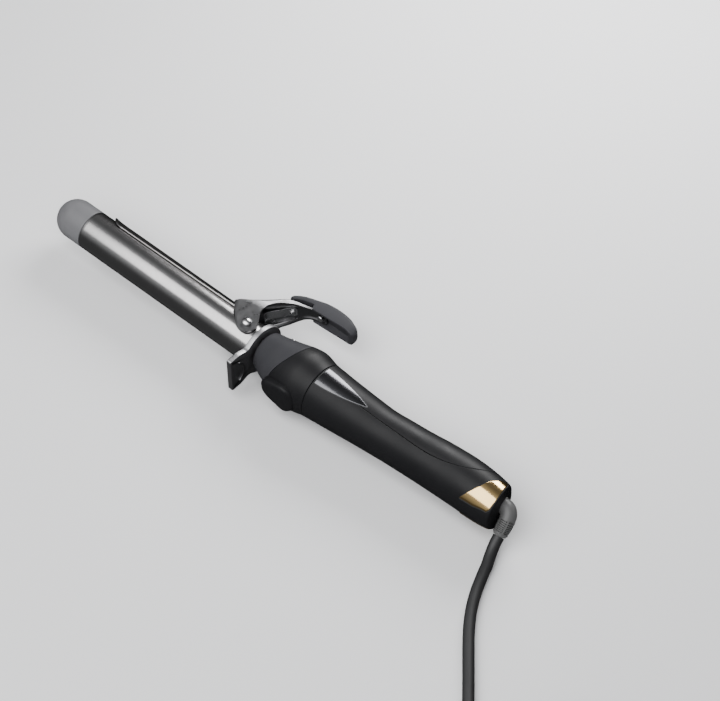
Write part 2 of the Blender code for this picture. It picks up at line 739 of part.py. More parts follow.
def parting_prism(name, shift):
    line = smooth_through(PARTING, 22)
    moved = []
    for i, p in enumerate(line):
        a, b = line[max(i - 1, 0)], line[min(i + 1, len(line) - 1)]
        d = math.hypot(b[0] - a[0], b[1] - a[1])
        moved.append((p[0] - (b[1] - a[1]) / d * shift, p[1] + (b[0] - a[0]) / d * shift))
    return prism(name, moved + [(60.0, 30.0)], "Z", -30, 30)


INSERT_DEPTH = 1.2
# The flank insert: a blunt front end and a long point to the rear.
INSERT_FRONT_X, INSERT_TIP_X, INSERT_HALF, INSERT_MIDDLE_Y = 68.8, 104.0, 6.7, -0.6


def insert_outline(grow):
    line = []
    for t in np.linspace(0, 1, 13):
        x = INSERT_FRONT_X + (INSERT_TIP_X - INSERT_FRONT_X) * t
        blunt = min(1.0, (x - INSERT_FRONT_X) / 1.2)
        half = INSERT_HALF * (1 - t**1.7) ** 0.9 * (0.8 + 0.2 * blunt)
        line.append((float(x), float(half)))
    middle = [INSERT_MIDDLE_Y + 0.9 * (x - INSERT_FRONT_X) / 35 for x, _ in line]
    upper = [(x, m + h + grow) for (x, h), m in zip(line, middle)]
    lower = [(x, m - h - grow) for (x, h), m in zip(line[:-1], middle)]
    upper[0], lower[0] = (upper[0][0] - grow, upper[0][1]), (lower[0][0] - grow, lower[0][1])
    upper[-1] = (INSERT_TIP_X + 2 * grow, middle[-1])
    return upper + lower[::-1]


TRIM_OUTLINE = (
    (182.2, -8.9), (184.6, -6.5), (187.1, -3.2), (189.5, 0.9), (191.2, 5.8), (193.6, 10.1),
    (195.5, 13.5), (198.0, 15.0),
    (199.0, 14.2), (199.9, 12.2), (201.2, 6.6), (201.9, 2.9), (202.2, -1.1), (201.8, -5.7),
    (200.5, -7.0), (198.2, -7.3),
    (191.6, -8.4), (185.8, -8.7),
)


def trim_outline(grow):
    return grown(TRIM_OUTLINE, (195.5, 2.5), grow)


def flank_pads(name, outline, depth, x0, x1, proud, sides=BODY_ROUND):
    """Both flank pads of an outline, following the handle's form: returns the one on +Z and the one on -Z."""
    pads = []
    for side in (1, -1):
        pad = handle_form(name, x0, x1, proud, 8.0, sides)
        low, high = (2.0, 30.0) if side > 0 else (-30.0, -2.0)
        boolean(pad, prism("outline", outline, "Z", low, high), "INTERSECT")
        boolean(pad, handle_form("core", x0 - 1, x1 + 1, proud - depth, 9.0, sides))
        pads.append(pad)
    return pads


def recess(o, outline):
    """Sinks both flanks of a shell where a pad lies."""
    for low, high in ((2.0, 30.0), (-30.0, -2.0)):
        cutter = prism("recess", outline, "Z", low, high)
        boolean(cutter, handle_form("core", 60.0, FORM_END_X, -INSERT_DEPTH, 12.0))
        boolean(o, cutter)


GRIP_SCREWS = (97.0, 160.0)
SCREW_LENGTH = 16.0
HOLLOW_END_X = 197.4
SLEEVE_R = 5.2


def end_x(y):
    """The rear end surface, which falls back towards the lever's side."""
    return HANDLE_END_X - END_BOW * (y - END_MIDDLE_Y) ** 2


def end_prism():
    line = [(end_x(y), y) for y in range(-14, 23, 3)]
    return prism("end", line + [(FORM_END_X + 5, line[-1][1]), (FORM_END_X + 5, line[0][1])], "Z", -20, 20)


def grip_solid(name):
    o = handle_form(name, COLLAR_END_X + GAP, FORM_END_X, step=12.0)
    boolean(o, end_prism())
    boolean(o, handle_form("inside", COLLAR_END_X - 1, HOLLOW_END_X, -SHELL_WALL, 30.0, INNER_ROUND))
    boolean(o, rod("outlet", (HOLLOW_END_X - 3, SWIVEL_Y, 0), "X", 14, SLEEVE_R + 0.5, 24))
    return o


def grip_lower():
    """The shell away from the lever, with the pillars that the grip screws bite in."""
    o = grip_solid("grip_lower")
    boolean(o, parting_prism("upper_part", -GAP / 2))
    recess(o, insert_outline(GAP))
    recess(o, trim_outline(GAP))
    for x in GRIP_SCREWS:
        middle, foot = offset_at(x), offset_at(x) - radius_at(x) + 1.6
        boolean(o, rod("pillar", (x, foot, 0), "Y", middle + 6.0 - foot, 2.9, 16), "UNION")
        boolean(o, rod("pillar_hole", (x, middle - 4, 0), "Y", 12, 1.2, 12))
    return o


def grip_upper():
    """The shell on the lever's side, which the two screws pass through."""
    o = grip_solid("grip_upper")
    boolean(o, parting_prism("upper_part", GAP / 2), "INTERSECT")
    recess(o, insert_outline(GAP))
    for x in GRIP_SCREWS:
        top = offset_at(x) + radius_at(x)
        boolean(o, rod("hole", (x, top - 5, 0), "Y", 10, 1.3, 12))
        boolean(o, rod("head_hole", (x, top - 1, 0), "Y", 3, 2.6, 16))
    return o


def grip_screw(x):
    top = offset_at(x) + radius_at(x)
    profile = [(0.1, 0), (0.1, 1.9), (0.7, 2.2), (0.8, 0.9), (SCREW_LENGTH, 0.9), (SCREW_LENGTH, 0)]
    return pin_along("screw", [(top - depth, r) for depth, r in profile], "Y", (x, 0))


def button(name):
    """A small bright push button through the front cone, with a stem down to its switch."""
    middle, half = BUTTONS[name]
    surface = offset_at(middle) + radius_at(middle)
    o = button_plug(name, middle, half, 0.0, surface - 2.6, surface + BUTTON_PROUD)
    soften(o, 0.35, 1, 40)
    return boolean(o, block("stem", (middle - 0.9, 12.4, -1.2), (middle + 0.9, surface - 2.0, 1.2)), "UNION")


def button_board():
    """The small board under the buttons, with a switch for each."""
    o = block("button_board", (28.5, 8.2, -4.5), (51.0, 9.4, 4.5))
    for middle, _ in BUTTONS.values():
        boolean(o, block("switch", (middle - 1.9, 9.0, -2.6), (middle + 1.9, 11.2, 2.6)), "UNION")
    return o


def front_bush():
    return ring_solid("front_bush", 22.6, 31.0, SHAFT_R + 0.1, 7.2, sides=24)


def rear_bush():
    return ring_solid("rear_bush", 79.0, 83.8, SHAFT_R + 0.1, 7.2, sides=24)


def rear_bearing_plate():
    x0, x1 = 80.0, 82.6
    return ring_solid("rear_bearing_plate", x0, x1, 7.5, radius_at(x1) - SHELL_WALL - 0.8)


def gear_bracket():
    """The plate that the gearbox is screwed to, with clearance holes for the journal and the pinion's shaft."""
    o = turned("gear_bracket", [(44.2, 0), (44.2, 15.2), (45.8, 15.2), (45.8, 0)], sides=32)
    boolean(o, block("button_side", (40, 7.6, -20), (50, 30, 20)))
    boolean(o, block("belly_side", (40, -30, -20), (50, -12.6, 20)))
    boolean(o, rod("journal_hole", (42, 0, 0), "X", 6, 5.4, 32))
    return boolean(o, rod("shaft_hole", (42, MOTOR_Y, 0), "X", 6, 1.8, 16))


def gearbox():
    return soften(block("gearbox", (46.2, -14.8, -5.6), (55.2, -5.3, 5.6)), 0.6, 1)


def motor():
    """A small direct-current motor: a can with two flats and a rear bearing boss."""
    can_r, flat_angle = 5.6, 56
    outline = arc(MOTOR_Y, 0, can_r, 90 - flat_angle, 90 + flat_angle, 9)
    outline += arc(MOTOR_Y, 0, can_r, 270 - flat_angle, 270 + flat_angle, 9)
    o = prism("motor", outline, "X", 55.5, 67.0)
    return boolean(o, rod("boss", (66.5, MOTOR_Y, 0), "X", 1.6, 1.8, 16), "UNION")


def motor_pinion():
    phase = math.pi / PINION_TEETH  # a gap faces the driven gear's tooth
    outline = [(y + MOTOR_Y, z) for y, z in gear_outline(PINION_TEETH, 0.1, phase)]
    o = prism("motor_pinion", outline, "X", *GEAR_X)
    return boolean(o, rod("shaft", (GEAR_X[0] - 1, MOTOR_Y, 0), "X", 7.4, 1.2, 16), "UNION")


def brush_block():
    """The holder of the two spring contacts that run on the slip rings."""
    o = block("brush_block", (69.4, 8.6, -4.0), (76.4, 12.4, 4.0))
    for x in (70.2, 73.8):
        boolean(o, block("brush", (x, 6.5, -1.2), (x + 1.6, 9.2, 1.2)), "UNION")
    return o


def control_board():
    """The main board with its relay, capacitor, controller and terminals."""
    o = block("control_board", (101.5, 4.2, -9.0), (150.0, 5.4, 9.0))
    boolean(o, block("relay", (126, -3.6, -6), (140, 4.6, 6)), "UNION")
    boolean(o, rod("capacitor", (112, -4.6, 0), "Y", 9.2, 4.2, 20, 0.4), "UNION")
    boolean(o, block("controller", (118.0, 2.6, -3), (123.5, 4.6, 3)), "UNION")
    return boolean(o, block("terminal", (143, -2.2, -7), (148.5, 4.6, 7)), "UNION")


# ---- the cord ----

# The strain relief's middle line, from the handle's end to where the bare cord leaves it.
RELIEF_LINE = (
    (201.2, SWIVEL_Y, 0.0), (203.0, SWIVEL_Y, 0.0), (205.5, 6.8, -0.4), (207.3, 5.2, -1.7),
    (208.1, 3.1, -3.5),
    (208.3, 0.9, -5.5), (208.4, -1.4, -7.6), (208.7, -4.6, -10.2),
)
COIL_CENTRE = (350.0, -119.0)
COIL_MIDDLE_R = 5.5 * 2 * CORD_R
COIL_COLUMNS, COIL_ROWS = 4, 3
COIL_BASE = FLOOR + 1.4  # the tie passes under the coil
COIL_TOP = COIL_BASE + COIL_ROWS * 2 * CORD_R
COIL_IN = COIL_MIDDLE_R - COIL_COLUMNS * CORD_R - 0.1
COIL_OUT = COIL_MIDDLE_R + COIL_COLUMNS * CORD_R + 0.1
TIE_ANGLE = 130.0
# The cord's route from the strain relief over the surface to the coil.
CORD_ROUTE = (
    (208.75, -5.0, -10.5), (209.3, -8.95, -13.05), (210.6, -13.35, -15.0), (212.5, -17.9, -16.1),
    (214.2, -21.5, -16.35),
    (217.8, -30.6, -16.4), (222.6, -41.4, -16.4), (229.0, -52.5, -16.4), (237.2, -63.6, -16.4),
    (247.0, -75.1, -16.4),
    (258.6, -88.4, -16.4), (270.0, -101.6, -16.3), (282.4, -115.8, -15.6), (294.2, -129.4, -15.1),
)
# The last stretch, which lies on top of the coil and ends in the plug.
TAIL_R = 36.8
TAIL_ANGLES = (314.0, 357.0)
TAIL_Z = COIL_TOP + GAP + CORD_R
PLUG_ANGLE = 358.0


def cord_curve(name, route, count):
    line = smooth_through(route, count)
    curve = bpy.data.curves.new(name, "CURVE")
    curve.dimensions = "3D"
    curve.bevel_depth = CORD_R * MM
    curve.bevel_resolution = 2
    curve.use_fill_caps = True
    spline = curve.splines.new("POLY")
    spline.points.add(len(line) - 1)
    for p, at in zip(spline.points, line):
        p.co = (*[c * MM for c in at], 1)
    o = bpy.data.objects.new(name, curve)
    bpy.context.scene.collection.objects.link(o)
    return o


def cord_swivel():
    """The turning sleeve that the shells hold by its collar, so the cord never winds up."""
    start, collar_end, end, bore = HOLLOW_END_X - 3.8, HOLLOW_END_X - 1.0, 200.9, 2.0
    profile = [(start, bore), (start, 7.6), (collar_end, 7.6)]
    profile += [(collar_end, SLEEVE_R), (end, SLEEVE_R), (end, bore)]
    return turned("cord_swivel", profile, (SWIVEL_Y, 0), 24, loop=True)


def strain_relief():
    """A moulded elbow that tapers down to the cord, with a ring near its end."""
    line = [RELIEF_LINE[0], *smooth_through(RELIEF_LINE[1:], 14)]
    radii = []
    for i in range(len(line)):
        t = i / (len(line) - 1)
        radii.append(5.0 - 0.2 * t - (0.9 * (t - 0.72) / 0.28 if t > 0.72 else 0))
    return sweep("strain_relief", line, radii, 16)


def cord():
    return cord_curve("cord", CORD_ROUTE, 26)


def cord_tail():
    ring = arc(*COIL_CENTRE, TAIL_R, *TAIL_ANGLES, 7)
    lift = [0, 0, 0, 0, 0, 0.4, 1.2]
    return cord_curve("cord_tail", [(x, y, TAIL_Z + h) for (x, y), h in zip(ring, lift)], 10)


def cord_coil():
    """The outer shape of the wound turns."""
    edge = CORD_R * 0.8
    section = arc(COIL_OUT - edge, COIL_TOP - edge, edge, 90, 0, 2)
    section += arc(COIL_OUT - edge, COIL_BASE + edge, edge, 0, -90, 2)
    section += arc(COIL_IN + edge, COIL_BASE + edge, edge, -90, -180, 2)
    section += arc(COIL_IN + edge, COIL_TOP - edge, edge, 180, 90, 2)
    rings = []
    for k in range(ROUND):
        t = 2 * math.pi * k / ROUND
        along, across = math.cos(t), math.sin(t)
        rings.append([(COIL_CENTRE[0] + r * along, COIL_CENTRE[1] + r * across, z) for r, z in section])
    return skin("cord_coil", rings, loop=True)


def coil_tie():
    """A strap around the coil's section."""
    inner_r, outer_r, thick, half = COIL_IN - 0.7, COIL_OUT + GAP, 1.0, 4.0
    low, high = COIL_BASE - GAP, COIL_TOP + GAP
    t = math.radians(TIE_ANGLE)
    ahead = Vector((-math.sin(t), math.cos(t), 0))
    out = Vector((math.cos(t), math.sin(t), 0))

    def loop(grow, along):
        near, far, base, top = inner_r - grow, outer_r + grow, low - grow, high + grow
        corners = [(near, base), (far, base), (far, top), (near, top)]
        return [tuple(Vector((*COIL_CENTRE, 0)) + out * r + ahead * along + Vector((0, 0, z))) for r, z in corners]

    rings = [loop(0, -half), loop(thick, -half), loop(thick, half), loop(0, half)]
    return skin("coil_tie", rings, loop=True)


def on_plug(points):
    """Turns points given as (along the plug, across it, up from its middle) into iron coordinates."""
    t = math.radians(PLUG_ANGLE)
    start = Vector((COIL_CENTRE[0] + TAIL_R * math.cos(t), COIL_CENTRE[1] + TAIL_R * math.sin(t), PLUG_Z))
    ahead, out = Vector((-math.sin(t), math.cos(t), 0)), Vector((math.cos(t), math.sin(t), 0))
    return [tuple(start + ahead * a + out * b + Vector((0, 0, c))) for a, b, c in points]


PLUG_THICK = 13.7
PLUG_WIDE = 35.3
PLUG_LENGTH = 34.0
PLUG_Z = COIL_TOP + GAP + PLUG_THICK / 2
PIN_R, PIN_SPREAD, PIN_LENGTH = 2.0, 18.6, 19.0


def plug_body():
    """A flat two-pin plug with its own short cord nose."""
    rows = [(0.8, 4.6, 4.6), (4.0, 5.2, 5.0), (9.0, 6.6, 5.6), (14.0, 11.0, 6.2), (19.0, 15.6, 6.7)]
    rows += [(24.0, PLUG_WIDE / 2, PLUG_THICK / 2), (PLUG_LENGTH - 0.8, PLUG_WIDE / 2, PLUG_THICK / 2)]
    rows += [(PLUG_LENGTH, PLUG_WIDE / 2 - 0.8, PLUG_THICK / 2 - 0.8)]
    rings = []
    for along, half_wide, half_thick in rows:
        corner = min(half_wide, half_thick) * 0.8
        ring = []
        for sx, sy, start in ((1, 1, 0), (-1, 1, 90), (-1, -1, 180), (1, -1, 270)):
            ring += arc(sx * (half_wide - corner), sy * (half_thick - corner), corner, start, start + 90, 5)
        rings.append(on_plug([(along, u, v) for u, v in ring]))
    return skin("plug_body", rings)


def plug_pin(side):
    rings = []
    for along, r in ((0, PIN_R), (PIN_LENGTH - 1, PIN_R), (PIN_LENGTH, PIN_R - 0.9)):
        start = PLUG_LENGTH + GAP + along
        turn = [2 * math.pi * k / 16 for k in range(16)]
        rings.append(on_plug([(start, side * PIN_SPREAD / 2 + r * math.cos(t), r * math.sin(t)) for t in turn]))
    return skin("pin", rings)


# ---- the assembly ----

BLACK = ("soft_touch_black", (0.028, 0.028, 0.032), 0.48)
CHARCOAL = ("charcoal", (0.06, 0.06, 0.068), 0.5)
TITANIUM = ("titanium", (0.48, 0.47, 0.45), 0.2, 1.0)
SATIN_STEEL = ("satin_steel", (0.34, 0.34, 0.34), 0.36, 1.0)
STEEL = ("bright_steel", (0.7, 0.7, 0.7), 0.25, 1.0)
ALUMINIUM = ("aluminium", (0.72, 0.72, 0.73), 0.4, 1.0)
HEAT_PLASTIC = ("heat_plastic", (0.2, 0.2, 0.2), 0.55)
CERAMIC = ("ceramic", (0.85, 0.82, 0.76), 0.6)
BRONZE = ("bronze", (0.6, 0.42, 0.22), 0.4, 1.0)
NYLON = ("nylon", (0.86, 0.85, 0.8), 0.5)
BOARD = ("board_green", (0.04, 0.22, 0.1), 0.5)
DARK_PLASTIC = ("dark_plastic", (0.03, 0.03, 0.03), 0.6)
GLOSS = ("gloss_panel", (0.05, 0.05, 0.055), 0.12, 0.6)
GOLD = ("gold", (0.83, 0.62, 0.33), 0.2, 1.0)
RUBBER = ("cord_rubber", (0.1, 0.1, 0.105), 0.5)

# Where each body's joint lies; every piece's mesh is given in iron coordinates.
BODY_PIVOTS = {
    "cord_set": (0, 0, 0),
    "handle": (SWIVEL_X, SWIVEL_Y, 0),
    "barrel": (0, 0, 0),
    "clamp": (*PIVOT, 0),
    "pinion": (GEAR_X[0], MOTOR_Y, 0),
    "rotate_key": (BUTTONS["rotate_button"][0], 15.5, 0),
    "power_key": (BUTTONS["power_button"][0], 18.9, 0),
}


def body_pieces():
    """Every piece with its finish, by the body that it moves with."""
    insert_up, insert_down = flank_pads(
        "flank_insert", insert_outline(0), INSERT_DEPTH - GAP, 66.0, 108.0, 0.15
    )
    trim_up, trim_down = flank_pads("rear_trim", trim_outline(0), INSERT_DEPTH - GAP, 180.0, 204.0, 0.4)
    return {
        "cord_set": [
            (cord_swivel(), "cord_swivel", NYLON), (strain_relief(), "strain_relief", RUBBER),
            (cord(), "cord", RUBBER), (cord_coil(), "cord_coil", RUBBER), (cord_tail(),
            "cord_tail", RUBBER),
            (coil_tie(), "coil_tie", DARK_PLASTIC), (plug_body(), "plug_body", DARK_PLASTIC),
            (plug_pin(-1), "plug_pin_inner", STEEL), (plug_pin(1), "plug_pin_outer", STEEL),
        ],
        "handle": [
            (front_cone(), "front_cone", CHARCOAL), (collar_shell(), "collar_shell", BLACK),
            (belly_cover(), "belly_cover", BLACK), (grip_upper(), "grip_upper", BLACK), (grip_lower(),
            "grip_lower", BLACK),
            (insert_up, "flank_insert_left", GLOSS), (insert_down, "flank_insert_right", GLOSS),
            (trim_up, "rear_trim_left", GOLD), (trim_down, "rear_trim_right", GOLD),
            (grip_screw(GRIP_SCREWS[0]), "grip_screw_front", STEEL),
            (grip_screw(GRIP_SCREWS[1]), "grip_screw_rear", STEEL),
            (front_bush(), "front_bush", BRONZE), (rear_bush(), "rear_bush", BRONZE),
            (rear_bearing_plate(), "rear_bearing_plate", NYLON), (gear_bracket(),
            "gear_bracket", SATIN_STEEL),
            (gearbox(), "gearbox", BRONZE), (motor(), "motor", STEEL), (brush_block(),
            "brush_block", DARK_PLASTIC),
            (button_board(), "button_board", BOARD), (control_board(), "control_board", BOARD),
        ],
        "barrel": [
            (barrel_tube(), "barrel_tube", TITANIUM), (tip_cap(), "tip_cap", HEAT_PLASTIC),
            (heat_spreader("heat_spreader_front", 1), "heat_spreader_front", ALUMINIUM),
            (heat_spreader("heat_spreader_back", -1), "heat_spreader_back", ALUMINIUM),
            (ptc_heater(), "ptc_heater", CERAMIC), (temperature_sensor(), "temperature_sensor", CERAMIC),
            (thermal_fuse(), "thermal_fuse", STEEL), (heater_leads(), "heater_leads", CERAMIC),
            (barrel_hub(), "barrel_hub", HEAT_PLASTIC), (stand_flange(), "stand_flange", SATIN_STEEL),
            (flange_screw(0), "flange_screw_1", STEEL), (flange_screw(1), "flange_screw_2", STEEL),
            (flange_screw(2), "flange_screw_3", STEEL), (driven_gear(), "driven_gear", NYLON),
            (slip_rings(), "slip_rings", BRONZE), (retaining_ring(), "retaining_ring", STEEL),
            (pivot_rivet(1), "pivot_rivet_left", STEEL), (pivot_rivet(-1), "pivot_rivet_right", STEEL),
        ],
        "clamp": [
            (clamp_plate(), "clamp_plate", TITANIUM), (lever_bracket(), "lever_bracket", SATIN_STEEL),
            (plate_rivet(TAB_RIVETS_X[0]), "plate_rivet_front", STEEL),
            (plate_rivet(TAB_RIVETS_X[1]), "plate_rivet_rear", STEEL), (thumb_cap(), "thumb_cap", BLACK),
            (thumb_cap_screw(), "thumb_cap_screw", STEEL), (leaf_spring(), "leaf_spring", STEEL),
            (spring_rivet(), "spring_rivet", STEEL),
        ],
        "pinion": [(motor_pinion(), "motor_pinion", BRONZE)],
        "rotate_key": [(button("rotate_button"), "rotate_button", STEEL)],
        "power_key": [(button("power_button"), "power_button", STEEL)],
    }


def empty(name, location, parent=None):
    o = bpy.data.objects.new(name, None)
    o.location = [c * MM for c in location]
    o.parent = parent
    bpy.context.scene.collection.objects.link(o)
    return o


def build():
    clear_scene()
    iron = empty("iron", (-X_MIDDLE, -Y_MIDDLE, AXIS_HEIGHT))
    finishes = {}
    for body, pieces in body_pieces().items():
        pivot = BODY_PIVOTS[body]
        joint = empty(body + "_joint", pivot, iron)
        for o, name, finish in pieces:
            o.name = o.data.name = name
            o.parent = joint
            o.location = [-c * MM for c in pivot]
            if finish[0] not in finishes:
                finishes[finish[0]] = material(*finish)
            o.data.materials.clear()
            o.data.materials.append(finishes[finish[0]])
            if o.type == "MESH":
                o.data.shade_smooth()
                o.data.set_sharp_from_angle(angle=math.radians(35))


build()
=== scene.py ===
"""The looks of the hair curler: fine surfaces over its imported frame, its cord, its materials and a plain studio.

Shapes are given in the iron's own millimetres: X runs along the barrel towards the cord, Y points to the
thumb lever's side, Z is the flank that faces up, and the origin is on the barrel's axis.
"""

import json
import math
from functools import lru_cache

import bmesh
import bpy
import numpy as np
from mathutils import Matrix, Vector


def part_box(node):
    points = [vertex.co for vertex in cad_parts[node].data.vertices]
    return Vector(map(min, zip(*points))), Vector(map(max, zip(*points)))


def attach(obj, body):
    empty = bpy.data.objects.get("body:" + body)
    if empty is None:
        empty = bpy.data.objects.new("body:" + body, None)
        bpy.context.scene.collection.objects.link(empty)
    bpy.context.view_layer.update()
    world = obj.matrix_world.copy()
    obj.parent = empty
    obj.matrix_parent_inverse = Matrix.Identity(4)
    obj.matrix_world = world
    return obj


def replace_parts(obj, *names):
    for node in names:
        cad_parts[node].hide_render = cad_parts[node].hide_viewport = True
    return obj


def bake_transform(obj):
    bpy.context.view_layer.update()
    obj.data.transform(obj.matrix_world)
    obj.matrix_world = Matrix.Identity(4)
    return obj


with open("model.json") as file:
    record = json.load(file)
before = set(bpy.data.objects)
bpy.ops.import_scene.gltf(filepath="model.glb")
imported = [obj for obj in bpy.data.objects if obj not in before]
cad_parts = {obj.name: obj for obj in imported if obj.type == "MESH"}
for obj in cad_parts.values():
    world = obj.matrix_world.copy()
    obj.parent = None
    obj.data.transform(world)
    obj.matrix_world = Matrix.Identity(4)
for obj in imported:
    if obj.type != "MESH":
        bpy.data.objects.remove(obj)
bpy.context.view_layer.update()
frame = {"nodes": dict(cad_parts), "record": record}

MM = 0.001
BARREL_R = 12.5
BARREL_WALL = 1.1
TUBE_START_X, TUBE_END_X = -120.4, 17.0
TIP_X = -146.0
CAP_SEAM_X = -120.7
PIVOT, PIVOT_HOLE_R = (7.4, 0.8), 2.4
EAR_R = 6.6
CONE_X, CONE_HOLE_R, COLLAR_END_X, HANDLE_END_X = 21.6, 7.5, 67.5, 203.1
END_MIDDLE_Y, END_BOW, HOLLOW_END_X = -4.0, 0.0093, 197.4
SWIVEL_Y, OUTLET_R = 7.4, 5.7
CORD_R, FLOOR_Z = 3.5, -19.9
GAP = 0.3

tube_low, tube_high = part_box("barrel_tube")
ORIGIN = Vector((tube_high.x - TUBE_END_X * MM, (tube_low.y + tube_high.y) / 2, (tube_low.z + tube_high.z) / 2))


def place(p):
    """A point in the iron's millimetres as one of the frame's, in metres."""
    return ORIGIN + Vector(p) * MM


def linked(name, data):
    """An object of this data, in the scene."""
    o = bpy.data.objects.new(name, data)
    bpy.context.scene.collection.objects.link(o)
    return o


def polar(r, t):
    return r * math.cos(t), r * math.sin(t)


def angles(count):
    """Angles all the way round, in even steps."""
    return [2 * math.pi * k / count for k in range(count)]


def quarter(count, first=0):
    """Angles over a quarter turn, for a rounded edge."""
    return [math.pi / 2 * k / count for k in range(first, count + 1)]


def map_range(tree, value, start, end, low, high):
    node = tree.nodes.new("ShaderNodeMapRange")
    for key, number in zip(("From Min", "From Max", "To Min", "To Max"), (start, end, low, high)):
        node.inputs[key].default_value = number
    tree.links.new(value, node.inputs["Value"])
    return node


# ---- camera ----


def make_camera():
    data = bpy.data.cameras.new("camera")
    data.lens, data.sensor_width, data.sensor_fit = 194.0, 36.0, "HORIZONTAL"
    data.clip_start, data.clip_end = 0.1, 50.0
    camera = linked("camera", data)
    right = Vector((0.7419, 0.6702, -0.0182)).normalized()
    back = Vector((0.4295, -0.4541, 0.7806)).normalized()
    up = back.cross(right).normalized()
    right = up.cross(back)
    turn = Matrix((right, up, back)).transposed().to_4x4()
    camera.matrix_world = Matrix.Translation(place((1046.8, -1001.7, 1786.5))) @ turn
    bpy.context.scene.camera = camera


make_camera()

# ---- materials ----


class Finish:
    """A Principled material that is built up by nodes; coordinates follow the piece."""

    def __init__(self, name, colour, roughness, metallic=0.0, **sockets):
        self.m = bpy.data.materials.new(name)
        self.m.use_nodes = True
        self.nodes, self.links = self.m.node_tree.nodes, self.m.node_tree.links
        self.shader = self.nodes["Principled BSDF"]
        self.colour, self.roughness = colour, roughness
        self.shader.inputs["Base Color"].default_value = (*colour, 1)
        self.shader.inputs["Roughness"].default_value = roughness
        self.shader.inputs["Metallic"].default_value = metallic
        for key, value in sockets.items():
            self.shader.inputs[key.replace("_", " ")].default_value = value
        self.space = self.nodes.new("ShaderNodeTexCoord").outputs["Object"]

    def add(self, kind, **values):
        node = self.nodes.new("ShaderNode" + kind)
        for key, value in values.items():
            if hasattr(node, key) and key not in node.inputs:
                setattr(node, key, value)
            else:
                node.inputs[key].default_value = value
        return node

    def noise(self, per_metre, stretch=(1, 1, 1), detail=3.0, rough=0.6):
        """Noise whose grains are a metre over per_metre across, stretched along the axes."""
        mapping = self.add("Mapping", Scale=stretch)
        self.links.new(self.space, mapping.inputs["Vector"])
        texture = self.add("TexNoise", Scale=per_metre, Detail=detail, Roughness=rough)
        self.links.new(mapping.outputs["Vector"], texture.inputs["Vector"])
        return texture.outputs["Fac"]

    def ranged(self, value, low, high, start=0.3, end=0.7):
        return map_range(self.m.node_tree, value, start, end, low, high).outputs["Result"]

    def vary_roughness(self, value, spread):
        self.links.new(
            self.ranged(value, self.roughness - spread, self.roughness + spread), self.shader.inputs["Roughness"]
        )
        return self

    def vary_colour(self, value, other, start=0.3, end=0.7):
        mix = self.nodes.new("ShaderNodeMix")
        mix.data_type = "RGBA"
        self.links.new(self.ranged(value, 0, 1, start, end), mix.inputs["Factor"])
        mix.inputs["A"].default_value = (*self.colour, 1)
        mix.inputs["B"].default_value = (*other, 1)
        self.links.new(mix.outputs["Result"], self.shader.inputs["Base Color"])
        return self

    def bump(self, value, height_mm, strength=1.0):
        node = self.nodes.new("ShaderNodeBump")
        node.inputs["Strength"].default_value = strength
        node.inputs["Distance"].default_value = height_mm * MM
        self.links.new(value, node.inputs["Height"])
        before = self.shader.inputs["Normal"].links
        if before:
            self.links.new(before[0].from_socket, node.inputs["Normal"])
        self.links.new(node.outputs["Normal"], self.shader.inputs["Normal"])
        return self


def soft_touch(name, colour, roughness, grain=2600):
    """Rubber-like lacquer: a fine orange-peel grain and faint handling marks."""
    f = Finish(name, colour, roughness, Specular_IOR_Level=0.2)
    f.vary_roughness(f.noise(60, detail=5), 0.05)
    f.vary_colour(f.noise(35, detail=4), tuple(c * 1.25 for c in colour))
    return f.bump(f.noise(grain, detail=2), 0.012, 0.5)


def brushed_metal(name, colour, roughness, stretch=(14, 1, 1), spread=0.05, height=0.004):
    """Metal with fine turned lines across the stretched axis and a faint cloudy tone."""
    f = Finish(name, colour, roughness, 1.0)
    f.vary_roughness(f.noise(260, stretch, 4), spread)
    f.vary_colour(f.noise(45, detail=4), tuple(c * 0.9 for c in colour))
    return f.bump(f.noise(420, stretch, 4), height, 0.35)


def cast_metal(name, colour, roughness, spread=0.07, height=0.01):
    f = Finish(name, colour, roughness, 1.0)
    f.vary_roughness(f.noise(240, detail=6), spread)
    f.vary_colour(f.noise(90, detail=4), tuple(c * 0.86 for c in colour))
    return f.bump(f.noise(900, detail=3), height, 0.4)


def moulded(name, colour, roughness, grain=1900, height=0.02, other=None):
    """Moulded plastic with a spark-eroded grain."""
    f = Finish(name, colour, roughness, Specular_IOR_Level=0.45)
    f.vary_roughness(f.noise(120, detail=5), 0.05)
    f.vary_colour(f.noise(70, detail=5), other or tuple(c * 1.15 for c in colour))
    return f.bump(f.noise(grain, detail=3), height, 0.6)


